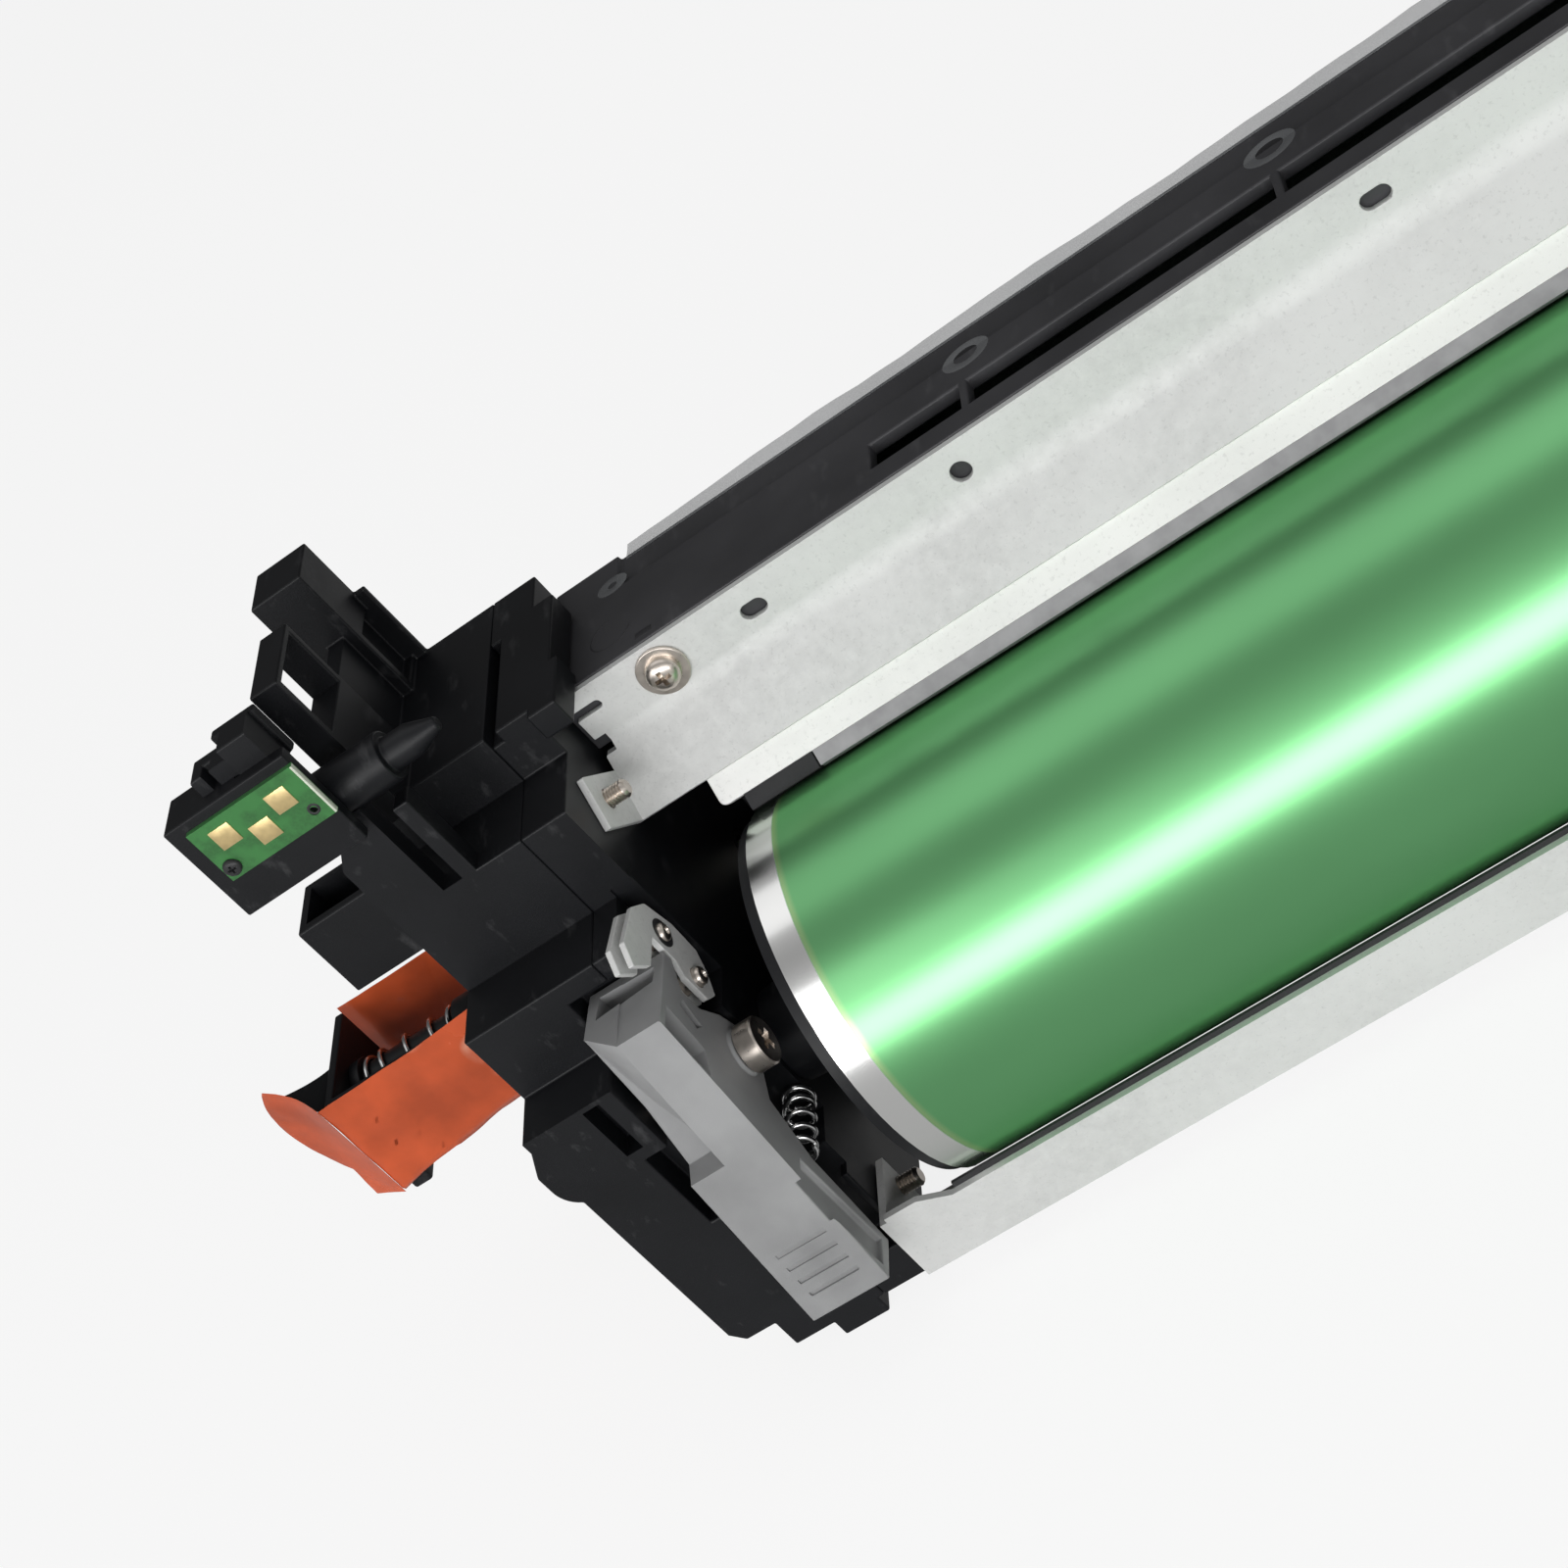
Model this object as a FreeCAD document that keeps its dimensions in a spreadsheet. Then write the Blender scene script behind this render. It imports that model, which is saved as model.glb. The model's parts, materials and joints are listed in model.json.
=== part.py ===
"""Drum unit of a large printer: drum, cleaner, charge roller and moulded end frames.

The origin lies on the drum's axis, at the front edge of the green coating.
+X runs along the drum to the rear, -Y is the lever side and +Z is up.
"""
import FreeCAD, Part
import math
import os

import Sketcher
from FreeCAD import Placement, Rotation, Vector

# Driving sizes in millimetres and degrees
SIZES = {
    "drum_radius": 30.0,
    "coating_length": 357.0,
    "bare_end": 4.5,
    "tube_wall": 1.6,
    "journal_radius": 4.5,
    "bearing_radius": 7.0,
    "running_gap": 0.05,
    "seat_gap": 0.3,
    "end_gap": 20.0,
    "plate_depth": 8.0,
    "cover_depth": 24.0,
    "moulding_wall": 3.0,
    "housing_wall": 2.2,
    "blade_angle": 66.6,
    "blade_gap": 0.3,
    "blade_reach": 2.6,
    "blade_thickness": 1.5,
    "blade_slope": 53.7,
    "holder_width": 12.6,
    "sheet_thickness": 1.2,
    "lower_flange_start": 7.2,
    "lower_flange_width": 12.4,
    "upper_flange_width": 9.5,
    "gear_gap": 1.2,
    "top_step": 5.0,
    "top_step_depth": 14.5,
    "face_clearance": 1.39,
    "lower_edge_drop": 8.2,
    "upper_shelf_drop": 9.0,
    "mid_shelf_drop": 25.0,
    "low_shelf_drop": 38.0,
    "mid_step": 12.0,
    "low_step": 10.0,
    "base_drop": 3.0,
    "foot_height": 3.0,
    "gear_inset": 2.0,
    "gear_backlash": 0.06,
    "drum_teeth": 56,
    "auger_teeth": 19,
    "gear_width": 9.0,
    "auger_angle": 12.3,
    "flight_radius": 5.0,
    "auger_shaft_radius": 2.2,
    "flight_pitch": 36.0,
    "pipe_radius": 3.8,
    "pipe_bore": 3.0,
    "spring_wire": 0.45,
    "shutter_spring_length": 19.0,
    "shutter_length": 18.0,
    "shutter_travel": 12.0,
    "tray_reach": 47.5,
    "tray_rim": 8.0,
    "tray_depth": 22.0,
    "tray_wall": 1.6,
    "film_thickness": 0.3,
    "charge_radius": 5.8,
    "charge_angle": -34.9,
    "charge_shaft_radius": 3.0,
    "cleaner_radius": 4.0,
    "cleaner_angle": -24.8,
    "arm_height": 25.5,
    "loop_height": 27.4,
    "pin_radius": 2.6,
    "pin_tip": 2.6,
    "chip_width": 19.2,
    "chip_height": 9.6,
    "pivot_inset": 7.9,
    "pivot_drop": 24.2,
    "pivot_radius": 2.0,
    "lever_width": 13.5,
    "lever_length": 34.0,
    "slot_pitch": 51.5,
    "rib_width": 1.4,
    "screw_radius": 1.5,
    "stay_hole_drop": 4.7,
}


class Size:
    """A length, with the sheet expression that gives it."""

    def __init__(self, value, text=None):
        self.value = float(value)
        self.text = text or "(%r)" % float(value)

    def join(self, other, sign, value):
        return Size(value, "(%s %s %s)" % (self.text, sign, as_size(other).text))

    def __add__(self, other):
        return self.join(other, "+", self.value + as_size(other).value)

    def __sub__(self, other):
        return self.join(other, "-", self.value - as_size(other).value)

    def __mul__(self, other):
        return self.join(other, "*", self.value * as_size(other).value)

    def __truediv__(self, other):
        return self.join(other, "/", self.value / as_size(other).value)

    def __radd__(self, other):
        return as_size(other) + self

    def __rsub__(self, other):
        return as_size(other) - self

    def __rmul__(self, other):
        return as_size(other) * self

    def __neg__(self):
        return as_size(0.0) - self

    def __float__(self):
        return self.value


def as_size(thing):
    """A bare number as a Size."""
    return thing if isinstance(thing, Size) else Size(thing)


def cosine(angle):
    """Cosine of a Size in degrees."""
    return Size(math.cos(math.radians(angle.value)), "cos(%s * 1 deg)" % angle.text)


def sine(angle):
    """Sine of a Size in degrees."""
    return Size(math.sin(math.radians(angle.value)), "sin(%s * 1 deg)" % angle.text)


def root_of(size):
    """Square root of a Size."""
    return Size(math.sqrt(size.value), "sqrt(%s)" % size.text)


def lower_of(one, other):
    """The lower of two Sizes."""
    return Size(min(one.value, other.value), "min(%s; %s)" % (one.text, other.text))


doc = FreeCAD.newDocument("DrumUnit")
sheet = doc.addObject("Spreadsheet::Sheet", "Sizes")
for row, (alias, number) in enumerate(SIZES.items(), start=1):
    sheet.set("A%d" % row, repr(number))
    sheet.setAlias("A%d" % row, alias)
doc.recompute()


class Named:
    """The sheet's sizes by name."""


s = Named()
for alias, number in SIZES.items():
    setattr(s, alias, Size(number, "Sizes." + alias))

pieces = []


def bind(thing, prop, size):
    """Tie one property to the sheet."""
    thing.setExpression(prop, as_size(size).text)


def put(thing, x, y, z):
    """Tie a thing's place to the sheet and keep its turn."""
    bind(thing, "Placement.Base.x", x)
    bind(thing, "Placement.Base.y", y)
    bind(thing, "Placement.Base.z", z)


def box(x, y, z):
    """A block between the two ends of each axis."""
    made = doc.addObject("Part::Box", "Block")
    bind(made, "Length", as_size(x[1]) - x[0])
    bind(made, "Width", as_size(y[1]) - y[0])
    bind(made, "Height", as_size(z[1]) - z[0])
    put(made, x[0], y[0], z[0])
    return made


TURN = {
    "X": Rotation(Vector(0, 1, 0), 90),
    "Y": Rotation(Vector(1, 0, 0), -90),
    "Z": Rotation(),
}


def rod(axis, radius, ends, across):
    """A round rod along one axis, with the other two places in X, Y, Z order."""
    made = doc.addObject("Part::Cylinder", "Rod")
    made.Placement = Placement(Vector(), TURN[axis])
    bind(made, "Radius", radius)
    bind(made, "Height", as_size(ends[1]) - ends[0])
    place = list(across)
    place.insert("XYZ".index(axis), ends[0])
    put(made, *place)
    return made


def taper(radius, end_radius, ends, across):
    """A cone frustum along X."""
    made = doc.addObject("Part::Cone", "Taper")
    made.Placement = Placement(Vector(), TURN["X"])
    bind(made, "Radius1", radius)
    bind(made, "Radius2", end_radius)
    bind(made, "Height", as_size(ends[1]) - ends[0])
    put(made, ends[0], *across)
    return made


def fuse(*parts):
    """Several shapes as one moulding."""
    made = doc.addObject("Part::MultiFuse", "Joined")
    made.Shapes = list(parts)
    made.Refine = True
    return made


def cut(base, *tools):
    """A shape with other shapes taken out of it."""
    made = doc.addObject("Part::Cut", "Cut")
    made.Base = base
    made.Tool = fuse(*tools) if len(tools) > 1 else tools[0]
    made.Refine = True
    return made


def outline(body, role, corners, level, holes=()):
    """A closed sketch on an origin plane, with each corner tied to the sheet."""
    plane = [feature for feature in body.Origin.OriginFeatures if feature.Role == role][0]
    sketch = body.newObject("Sketcher::SketchObject", "Outline")
    sketch.AttachmentSupport = [(plane, "")]
    sketch.MapMode = "FlatFace"
    bind(sketch, "AttachmentOffset.Base.z", level)
    places = [Vector(float(u), float(v), 0) for u, v in corners]
    count = len(places)
    for index, place in enumerate(places):
        sketch.addGeometry(Part.LineSegment(place, places[(index + 1) % count]), False)
    for index in range(count):
        sketch.addConstraint(
            Sketcher.Constraint("Coincident", index, 2, (index + 1) % count, 1)
        )
    for index, corner in enumerate(corners):
        for kind, size in zip(("DistanceX", "DistanceY"), corner):
            tie(sketch, Sketcher.Constraint(kind, -1, 1, index, 1, float(size)), size)
    for u, v, radius in holes:
        ring = Part.Circle(Vector(float(u), float(v), 0), Vector(0, 0, 1), float(radius))
        index = sketch.addGeometry(ring, False)
        tie(sketch, Sketcher.Constraint("Radius", index, float(radius)), radius)
        tie(sketch, Sketcher.Constraint("DistanceX", -1, 1, index, 3, float(u)), u)
        tie(sketch, Sketcher.Constraint("DistanceY", -1, 1, index, 3, float(v)), v)
    return sketch


def tie(sketch, constraint, size):
    """Add a constraint and give it its sheet expression."""
    index = sketch.addConstraint(constraint)
    bind(sketch, "Constraints[%d]" % index, size)


def prism(axis, corners, ends, holes=()):
    """An outline padded along one axis from one end to the other."""
    body = doc.addObject("PartDesign::Body", "Body")
    low, high = as_size(ends[0]), as_size(ends[1])
    role, level = {
        "X": ("YZ_Plane", low),
        "Y": ("XZ_Plane", -high),
        "Z": ("XY_Plane", low),
    }[axis]
    pad = body.newObject("PartDesign::Pad", "Pad")
    pad.Profile = outline(body, role, corners, level, holes)
    bind(pad, "Length", high - low)
    return body


def turned(corners):
    """A profile of (x, radius) corners turned about the X axis."""
    body = doc.addObject("PartDesign::Body", "Body")
    sketch = outline(body, "XZ_Plane", corners, 0)
    revolution = body.newObject("PartDesign::Revolution", "Turned")
    revolution.Profile = sketch
    revolution.ReferenceAxis = (sketch, ["H_Axis"])
    revolution.Angle = 360
    return body


def piece(thing, name):
    """Name a finished piece, whose file and node take the name."""
    thing.Label = name
    pieces.append(thing)
    return thing


def wound(name, axis, section, runs, pitch, length, place):
    """A closed (radius, height) section carried up a helix, with some straight runs to a turn."""
    count = max(2, round(runs * length / pitch))
    rings = []
    for step in range(count + 1):
        rise = length * step / count
        turn = 2 * math.pi * rise / pitch
        rings.append([Vector(r * math.cos(turn), r * math.sin(turn), rise + h) for r, h in section])
    faces = [Part.Face(Part.makePolygon(ring + ring[:1])) for ring in (rings[0], rings[-1])]
    for low, high in zip(rings, rings[1:]):
        for one in range(len(section)):
            two = (one + 1) % len(section)
            faces.append(Part.Face(Part.makePolygon([low[one], low[two], high[two], low[one]])))
            faces.append(Part.Face(Part.makePolygon([low[one], high[two], high[one], low[one]])))
    made = doc.addObject("Part::Feature", name)
    solid = Part.makeSolid(Part.makeShell(faces))
    made.Shape = solid if solid.Volume > 0 else solid.reversed()
    made.Placement = Placement(Vector(), TURN[axis])
    put(made, *place)
    return made


def coil(name, axis, start, length, across, mean_radius, turns):
    """A compression spring with a four-sided wire, wound along one axis."""
    wire = s.spring_wire.value
    middle = mean_radius.value
    section = [(middle + wire, 0), (middle, wire), (middle - wire, 0), (middle, -wire)]
    place = list(across)
    place.insert("XYZ".index(axis), start)
    wire_turns = wound("Coil", axis, section, 10, length.value / turns, length.value, place)
    return piece(wire_turns, name)


# Planes across the unit, from the front cover to the rear cover
wall_x = -s.end_gap
seam_x = wall_x - s.plate_depth
front_x = seam_x - s.cover_depth + 1
rear_wall_x = s.coating_length + s.end_gap
rear_seam_x = rear_wall_x + s.plate_depth
rear_x = rear_seam_x + s.cover_depth

# Section around the blade: it slopes down to the drum's surface
tip_y = (s.drum_radius + s.blade_gap) * cosine(s.blade_angle)
tip_z = (s.drum_radius + s.blade_gap) * sine(s.blade_angle)
slope_y = cosine(s.blade_slope)
slope_z = sine(s.blade_slope)


def slant(up, out):
    """A place measured up the blade's slope and out from its under face."""
    return (tip_y + up * slope_y - out * slope_z, tip_z + up * slope_z + out * slope_y)


stay_under = s.blade_thickness
stay_out = s.blade_thickness + s.sheet_thickness
bend = s.lower_flange_start + s.lower_flange_width
stay_y, bend_z = slant(bend, stay_out)
stay_top_z = bend_z + s.upper_flange_width

# Waste auger beside the drum, at the gears' centre distance
gear_module = 2 * (s.drum_radius - s.gear_inset) / s.drum_teeth
gear_distance = gear_module * (s.drum_teeth + s.auger_teeth) / 2 + s.gear_backlash
auger_y = gear_distance * cosine(s.auger_angle)
auger_z = gear_distance * sine(s.auger_angle)
charge_distance = s.drum_radius + s.charge_radius + s.seat_gap
charge_y = charge_distance * cosine(s.charge_angle)
charge_z = charge_distance * sine(s.charge_angle)
cleaner_distance = s.charge_radius + s.cleaner_radius + s.seat_gap
cleaner_y = charge_y + cleaner_distance * cosine(s.cleaner_angle)
cleaner_z = charge_z + cleaner_distance * sine(s.cleaner_angle)

# Section of the housing and the stepped section of both end frames
housing_front_y = stay_y + s.sheet_thickness + 0.15
housing_top_z = stay_top_z + s.seat_gap
auger_gear_radius = gear_module * (s.auger_teeth / 2 + 1)
back_y = auger_y + auger_gear_radius + s.gear_gap + s.housing_wall
top_z = housing_top_z + s.top_step
upper_shelf_z = top_z - s.upper_shelf_drop
mid_shelf_z = top_z - s.mid_shelf_drop
low_shelf_z = top_z - s.low_shelf_drop
lower_top = -(s.drum_radius - s.lower_edge_drop)
drum_reach = root_of(s.drum_radius * s.drum_radius - lower_top * lower_top)
low_y = -(drum_reach + s.face_clearance)
mid_y = low_y + s.low_step
face_y = mid_y + s.mid_step
top_step_y = face_y + s.top_step_depth
floor_thickness = as_size(2)
base_z = lower_of(-(s.drum_radius + s.base_drop), cleaner_z - s.cleaner_radius - floor_thickness - 0.5)
pivot_y = low_y + s.pivot_inset
pivot_z = mid_shelf_z - s.pivot_drop

stepped = [
    (back_y, top_z),
    (top_step_y, top_z),
    (top_step_y, upper_shelf_z),
    (face_y, upper_shelf_z),
    (face_y, mid_shelf_z),
    (mid_y, mid_shelf_z),
    (mid_y, low_shelf_z),
    (low_y, low_shelf_z),
    (low_y, base_z),
    (back_y, base_z),
]

# Drum tube
tube_ends = (-s.bare_end, s.coating_length + s.bare_end)
tube_bore = s.drum_radius - s.tube_wall
piece(
    cut(rod("X", s.drum_radius, tube_ends, (0, 0)), rod("X", tube_bore, tube_ends, (0, 0))),
    "drum_tube",
)

# Front flange: a cup in the tube's end, a lip against it and a journal
lip = s.drum_radius - 0.8
plug = tube_bore - s.running_gap
hub = s.journal_radius + 3
bearing_face = wall_x - 0.2
piece(
    turned(
        [
            (bearing_face - 7, 0),
            (bearing_face - 7, s.journal_radius - 0.5),
            (bearing_face - 6.5, s.journal_radius),
            (bearing_face + s.seat_gap, s.journal_radius),
            (bearing_face + s.seat_gap, hub),
            (tube_ends[0] - 2, hub + 1),
            (tube_ends[0] - 2, lip),
            (tube_ends[0], lip),
            (tube_ends[0], plug),
            (tube_ends[0] + 16.5, plug),
            (tube_ends[0] + 16.5, plug - 1.8),
            (tube_ends[0] + 2, plug - 1.8),
            (tube_ends[0] + 2, 0),
        ]
    ),
    "drum_flange_front",
)

# Rear flange: the same cup, a spur gear and the drive coupling's socket
gear_x = (tube_ends[1] + 2.5, tube_ends[1] + 2.5 + s.gear_width)
root = gear_module * (s.drum_teeth / 2 - 1.25)
rear_face = rear_wall_x + 0.2
coupling_end = rear_x - 5
socket_radius = 2.6
rear_flange = turned(
    [
        (tube_ends[1] - 16.5, plug - 1.8),
        (tube_ends[1] - 16.5, plug),
        (tube_ends[1], plug),
        (tube_ends[1], lip),
        (gear_x[0], lip),
        (gear_x[0], root),
        (gear_x[1], root),
        (gear_x[1], root - 3),
        (gear_x[0] + 3, root - 3),
        (gear_x[0] + 3, hub + 1),
        (rear_face - s.seat_gap, hub),
        (rear_face - s.seat_gap, s.journal_radius),
        (coupling_end - 0.5, s.journal_radius),
        (coupling_end, s.journal_radius - 0.5),
        (coupling_end, socket_radius),
        (coupling_end - 14, socket_radius),
        (coupling_end - 14, 0),
        (tube_ends[1] - 2, 0),
        (tube_ends[1] - 2, plug - 1.8),
    ]
)


def toothed(body, teeth, width, level, first_angle):
    """Add straight-flanked spur teeth around X to a turned body."""
    pitch = gear_module.value * teeth.value / 2
    tooth = body.newObject("PartDesign::Pad", "Tooth")
    half = math.pi * gear_module.value / 4 * 0.84
    flank = [
        (pitch - 1.4 * gear_module.value, 1.55 * half),
        (pitch + gear_module.value, 0.5 * half),
        (pitch + gear_module.value, -0.5 * half),
        (pitch - 1.4 * gear_module.value, -1.55 * half),
    ]
    turn = math.radians(first_angle)
    corners = [
        (u * math.cos(turn) - v * math.sin(turn), u * math.sin(turn) + v * math.cos(turn))
        for u, v in flank
    ]
    sketch = outline(body, "YZ_Plane", corners, level)
    tooth.Profile = sketch
    bind(tooth, "Length", width)
    ring = body.newObject("PartDesign::PolarPattern", "Teeth")
    ring.Originals = [tooth]
    ring.Axis = (sketch, ["N_Axis"])
    ring.Angle = 360
    bind(ring, "Occurrences", teeth)
    body.Tip = ring
    return body


toothed(rear_flange, s.drum_teeth, s.gear_width, gear_x[0], s.auger_angle.value)
coupling_slot = box(
    (coupling_end - 4, coupling_end + 1), (-s.journal_radius - 1, s.journal_radius + 1), (-1, 1)
)
piece(cut(rear_flange, coupling_slot), "drum_flange_rear")

# Plain bearings of the drum in both side plates
for name, ends in (
    ("drum_bearing_front", (wall_x - s.plate_depth + 0.2, bearing_face)),
    ("drum_bearing_rear", (rear_face, rear_seam_x - 0.2)),
):
    bore = s.journal_radius + s.running_gap
    piece(
        cut(rod("X", s.bearing_radius, ends, (0, 0)), rod("X", bore, ends, (0, 0))),
        name,
    )

# Recess for the release lever, and the holes that cross the front frame
lever_x = (wall_x - s.lever_width - 0.2, wall_x - 0.2)
recess_left = lever_x[0] - 1.3
bearing_skin = s.bearing_radius + 1.4
lever_top_z = pivot_z + 18.8
recess_foot_z = pivot_z - s.lever_length - 2.8
recess = [
    (low_y - 1, lever_top_z + 1.6),
    (pivot_y + 6.5, lever_top_z + 1.6),
    (pivot_y + 6.5, pivot_z + 12),
    (-bearing_skin, pivot_z + 8),
    (-bearing_skin, pivot_z - 19),
    (pivot_y - 2, pivot_z - 19),
    (pivot_y - 2, recess_foot_z),
    (low_y - 1, recess_foot_z),
]
pipe_fit = s.pipe_radius + s.running_gap
pivot_fit = s.pivot_radius + s.running_gap
screw_fit = s.screw_radius + s.running_gap
rear_hole = s.auger_shaft_radius + s.running_gap

# Front side plate
plate = prism(
    "X",
    stepped,
    (seam_x, wall_x),
    holes=[(0, 0, s.bearing_radius + s.running_gap), (auger_y, auger_z, pipe_fit)],
)
hood_z = (housing_top_z + s.seat_gap, top_z)
long_hood = box((wall_x, wall_x + 3.7), (top_step_y - 2, back_y - 8.6), hood_z)
short_hood = box((wall_x, wall_x + 5), (top_step_y - 2, top_step_y + 9.8), hood_z)
latch_floor_x = wall_x - 3.7
latch_recess = box(
    (latch_floor_x, wall_x + 1), (mid_y - 1, face_y + 0.4), (mid_shelf_z - 19.4, mid_shelf_z + 1.5)
)
open_recess = prism("X", recess, (seam_x - 1, wall_x + 1))
skin = box((wall_x - 1.2, wall_x), (low_y + 3.4, pivot_y - 1), (recess_foot_z - 1, pivot_z - 24))
stay_tab_y, stay_tab_z = slant(s.lower_flange_start + 4.4, 9.8)
tab_screw_hole = rod("X", screw_fit, (wall_x - 6, wall_x + 1), (stay_tab_y, stay_tab_z))
lower_screw_hole = rod("X", screw_fit, (wall_x - 6, wall_x + 1), (low_y + 10, base_z + 8))
groove = box((wall_x - 9, wall_x - 6), (top_step_y - 1, back_y - 12), (top_z - 2, top_z + 1))
piece(
    fuse(
        cut(
            fuse(plate, long_hood, short_hood),
            open_recess,
            latch_recess,
            tab_screw_hole,
            lower_screw_hole,
            groove,
        ),
        skin,
    ),
    "front_side_plate",
)

# Front cover: the stepped moulding with its arm, loop, pin, pocket and lobe
cover = prism("X", stepped, (front_x, seam_x))
upstand = prism(
    "Y",
    [
        (front_x, mid_shelf_z + 1),
        (front_x, top_z + 2),
        (front_x + 5, top_z + 9),
        (front_x + 9, top_z + 9),
        (front_x + 9, mid_shelf_z + 1),
    ],
    (face_y, face_y + 4),
)
bar = box((front_x + 12.5, front_x + 15), (face_y, face_y + 4), (upper_shelf_z - 1, top_z + 6))
arm = box((front_x - 1.5, front_x + 8), (back_y - 9.6, back_y), (top_z - 20, top_z + s.arm_height))
side_wall = prism(
    "X",
    [
        (face_y + 13, top_z - 1),
        (face_y + 13, top_z + 13.5),
        (back_y - 9, top_z + 13.5),
        (back_y - 5, top_z + 17),
        (back_y - 5, top_z - 1),
    ],
    (front_x + 3, front_x + 6),
)
arm_pocket = box((front_x + 6.4, front_x + 9), (back_y - 8, back_y - 1.2), (top_z + 1, top_z + 11.5))
fin = box((front_x + 8, front_x + 10), (back_y - 1.2, back_y), (top_z - 1, top_z + 14.5))
loop_x = (front_x + 4, front_x + 9)
loop_y = (face_y + 10.2, face_y + 25.4)
loop = box(loop_x, loop_y, (top_z - 1, top_z + s.loop_height))
loop_hole = box(
    (loop_x[0] - 1, loop_x[1] + 1),
    (loop_y[0] + 1.4, loop_y[1] - 1.4),
    (top_z + 15.8, top_z + s.loop_height - 1.2),
)
pin_y = face_y + 3
pin_z = top_z + 11.8
boss = rod("X", s.pin_radius + 1.3, (front_x + 5, front_x + 17), (pin_y, pin_z))
pin = rod("X", s.pin_radius, (front_x + 17, front_x + 21), (pin_y, pin_z))
pin_tip = taper(s.pin_radius, 1.0, (front_x + 21, front_x + 23 + s.pin_tip), (pin_y, pin_z))
pocket_outer = box(
    (front_x - 30, front_x + 1), (back_y - 20.6, back_y - 8.2), (mid_shelf_z - 7, mid_shelf_z + 7)
)
pocket_inner = box(
    (front_x - 30 + s.tray_wall, front_x),
    (back_y - 20.6 + s.tray_wall, back_y - 8.2 - s.tray_wall),
    (mid_shelf_z - 7 + s.tray_wall, mid_shelf_z + 8),
)
lobe = fuse(
    rod("Y", 5, (low_y, mid_y), (front_x + 2.7, low_shelf_z - 9.6)),
    prism(
        "Y",
        [
            (front_x - 2.3, low_shelf_z - 9.6),
            (front_x + 7, low_shelf_z - 9.6),
            (front_x + 7, low_shelf_z),
            (front_x + 1.2, low_shelf_z),
            (front_x - 2.3, low_shelf_z - 6.4),
        ],
        (low_y, mid_y),
    ),
)
foot = box((seam_x - 9.2, seam_x - 1.2), (low_y, low_y + 30), (base_z - s.foot_height, base_z + 1))
back_foot = box((seam_x - 9.2, seam_x - 1.2), (back_y - 14, back_y), (base_z - s.foot_height, base_z + 1))
low_corner = box((front_x - 1, front_x + 6.9), (low_y - 1, low_y + 40), (base_z - 1, base_z + 5.3))
corner_cut = prism(
    "Y",
    [
        (front_x - 1, base_z + 9),
        (front_x - 1, base_z + 5),
        (front_x + 2, base_z + 5),
    ],
    (low_y - 1, low_y + 40),
)
hollow = box(
    (front_x + s.moulding_wall, seam_x),
    (face_y + s.moulding_wall, back_y - s.moulding_wall),
    (base_z + s.moulding_wall + 6, upper_shelf_z - s.moulding_wall),
)
half_recess = prism("X", recess, (recess_left, seam_x + 1))
side_window = box((front_x + 12, front_x + 18), (low_y - 1, low_y + 5), (-6, 9))
pipe_hole = rod("X", pipe_fit, (front_x - 2, seam_x + 1), (auger_y, auger_z))
pivot_blind = rod("X", pivot_fit, (lever_x[0] - 6, seam_x + 1), (pivot_y, pivot_z))
piece(
    fuse(
        cut(
            fuse(cover, upstand, arm, fin, side_wall, loop, lobe, foot, back_foot, pocket_outer),
            loop_hole,
            arm_pocket,
            pocket_inner,
            low_corner,
            corner_cut,
            hollow,
            half_recess,
            side_window,
            pipe_hole,
            pivot_blind,
        ),
        bar,
        boss,
        pin,
        pin_tip,
    ),
    "front_cover",
)

# Rear side plate and rear cover
piece(
    prism(
        "X",
        stepped,
        (rear_wall_x, rear_seam_x),
        holes=[(0, 0, s.bearing_radius + s.running_gap), (auger_y, auger_z, rear_hole)],
    ),
    "rear_side_plate",
)
rear_block = prism("X", stepped, (rear_seam_x, rear_x), holes=[(0, 0, s.bearing_radius + 3)])
rear_foot_x = (rear_seam_x + 1.2, rear_seam_x + 9.2)
rear_foot = box(rear_foot_x, (low_y, low_y + 30), (base_z - s.foot_height, base_z + 1))
rear_back_foot = box(rear_foot_x, (back_y - 14, back_y), (base_z - s.foot_height, base_z + 1))
rear_hollow = box(
    (rear_seam_x, rear_x - s.moulding_wall),
    (s.bearing_radius + 3 + s.moulding_wall, back_y - s.moulding_wall),
    (base_z + s.moulding_wall, upper_shelf_z - s.moulding_wall),
)
piece(cut(fuse(rear_block, rear_foot, rear_back_foot), rear_hollow), "rear_cover")

# Cleaner housing: back wall, roof and the waste trough
trough_z = auger_z - s.flight_radius - 0.3
inner_y = back_y - s.housing_wall
trough_lip_y = auger_y - s.flight_radius - 1.6
section = [
    (housing_front_y, housing_top_z),
    (back_y, housing_top_z),
    (back_y, base_z),
    (charge_y - 9.6, base_z),
    (charge_y - 9.6, base_z + floor_thickness),
    (inner_y, base_z + floor_thickness),
    (inner_y, trough_z - s.housing_wall),
    (trough_lip_y + 1.3, trough_z - s.housing_wall),
    (trough_lip_y - 0.2, auger_z - 2),
    (trough_lip_y + 1.3, auger_z - 1.5),
    (trough_lip_y + 3, trough_z),
    (inner_y, trough_z),
    (inner_y, housing_top_z - s.housing_wall),
    (housing_front_y + s.housing_wall, housing_top_z - s.housing_wall),
    (housing_front_y + s.housing_wall, housing_top_z - 11),
    (housing_front_y, housing_top_z - 11),
]
housing = prism("X", section, (wall_x, rear_wall_x))
gear_gap = box(
    (tube_ends[1] - 0.5, rear_wall_x + 1),
    (trough_lip_y - 5, inner_y),
    (trough_z - s.housing_wall - 1, auger_z),
)
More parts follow.
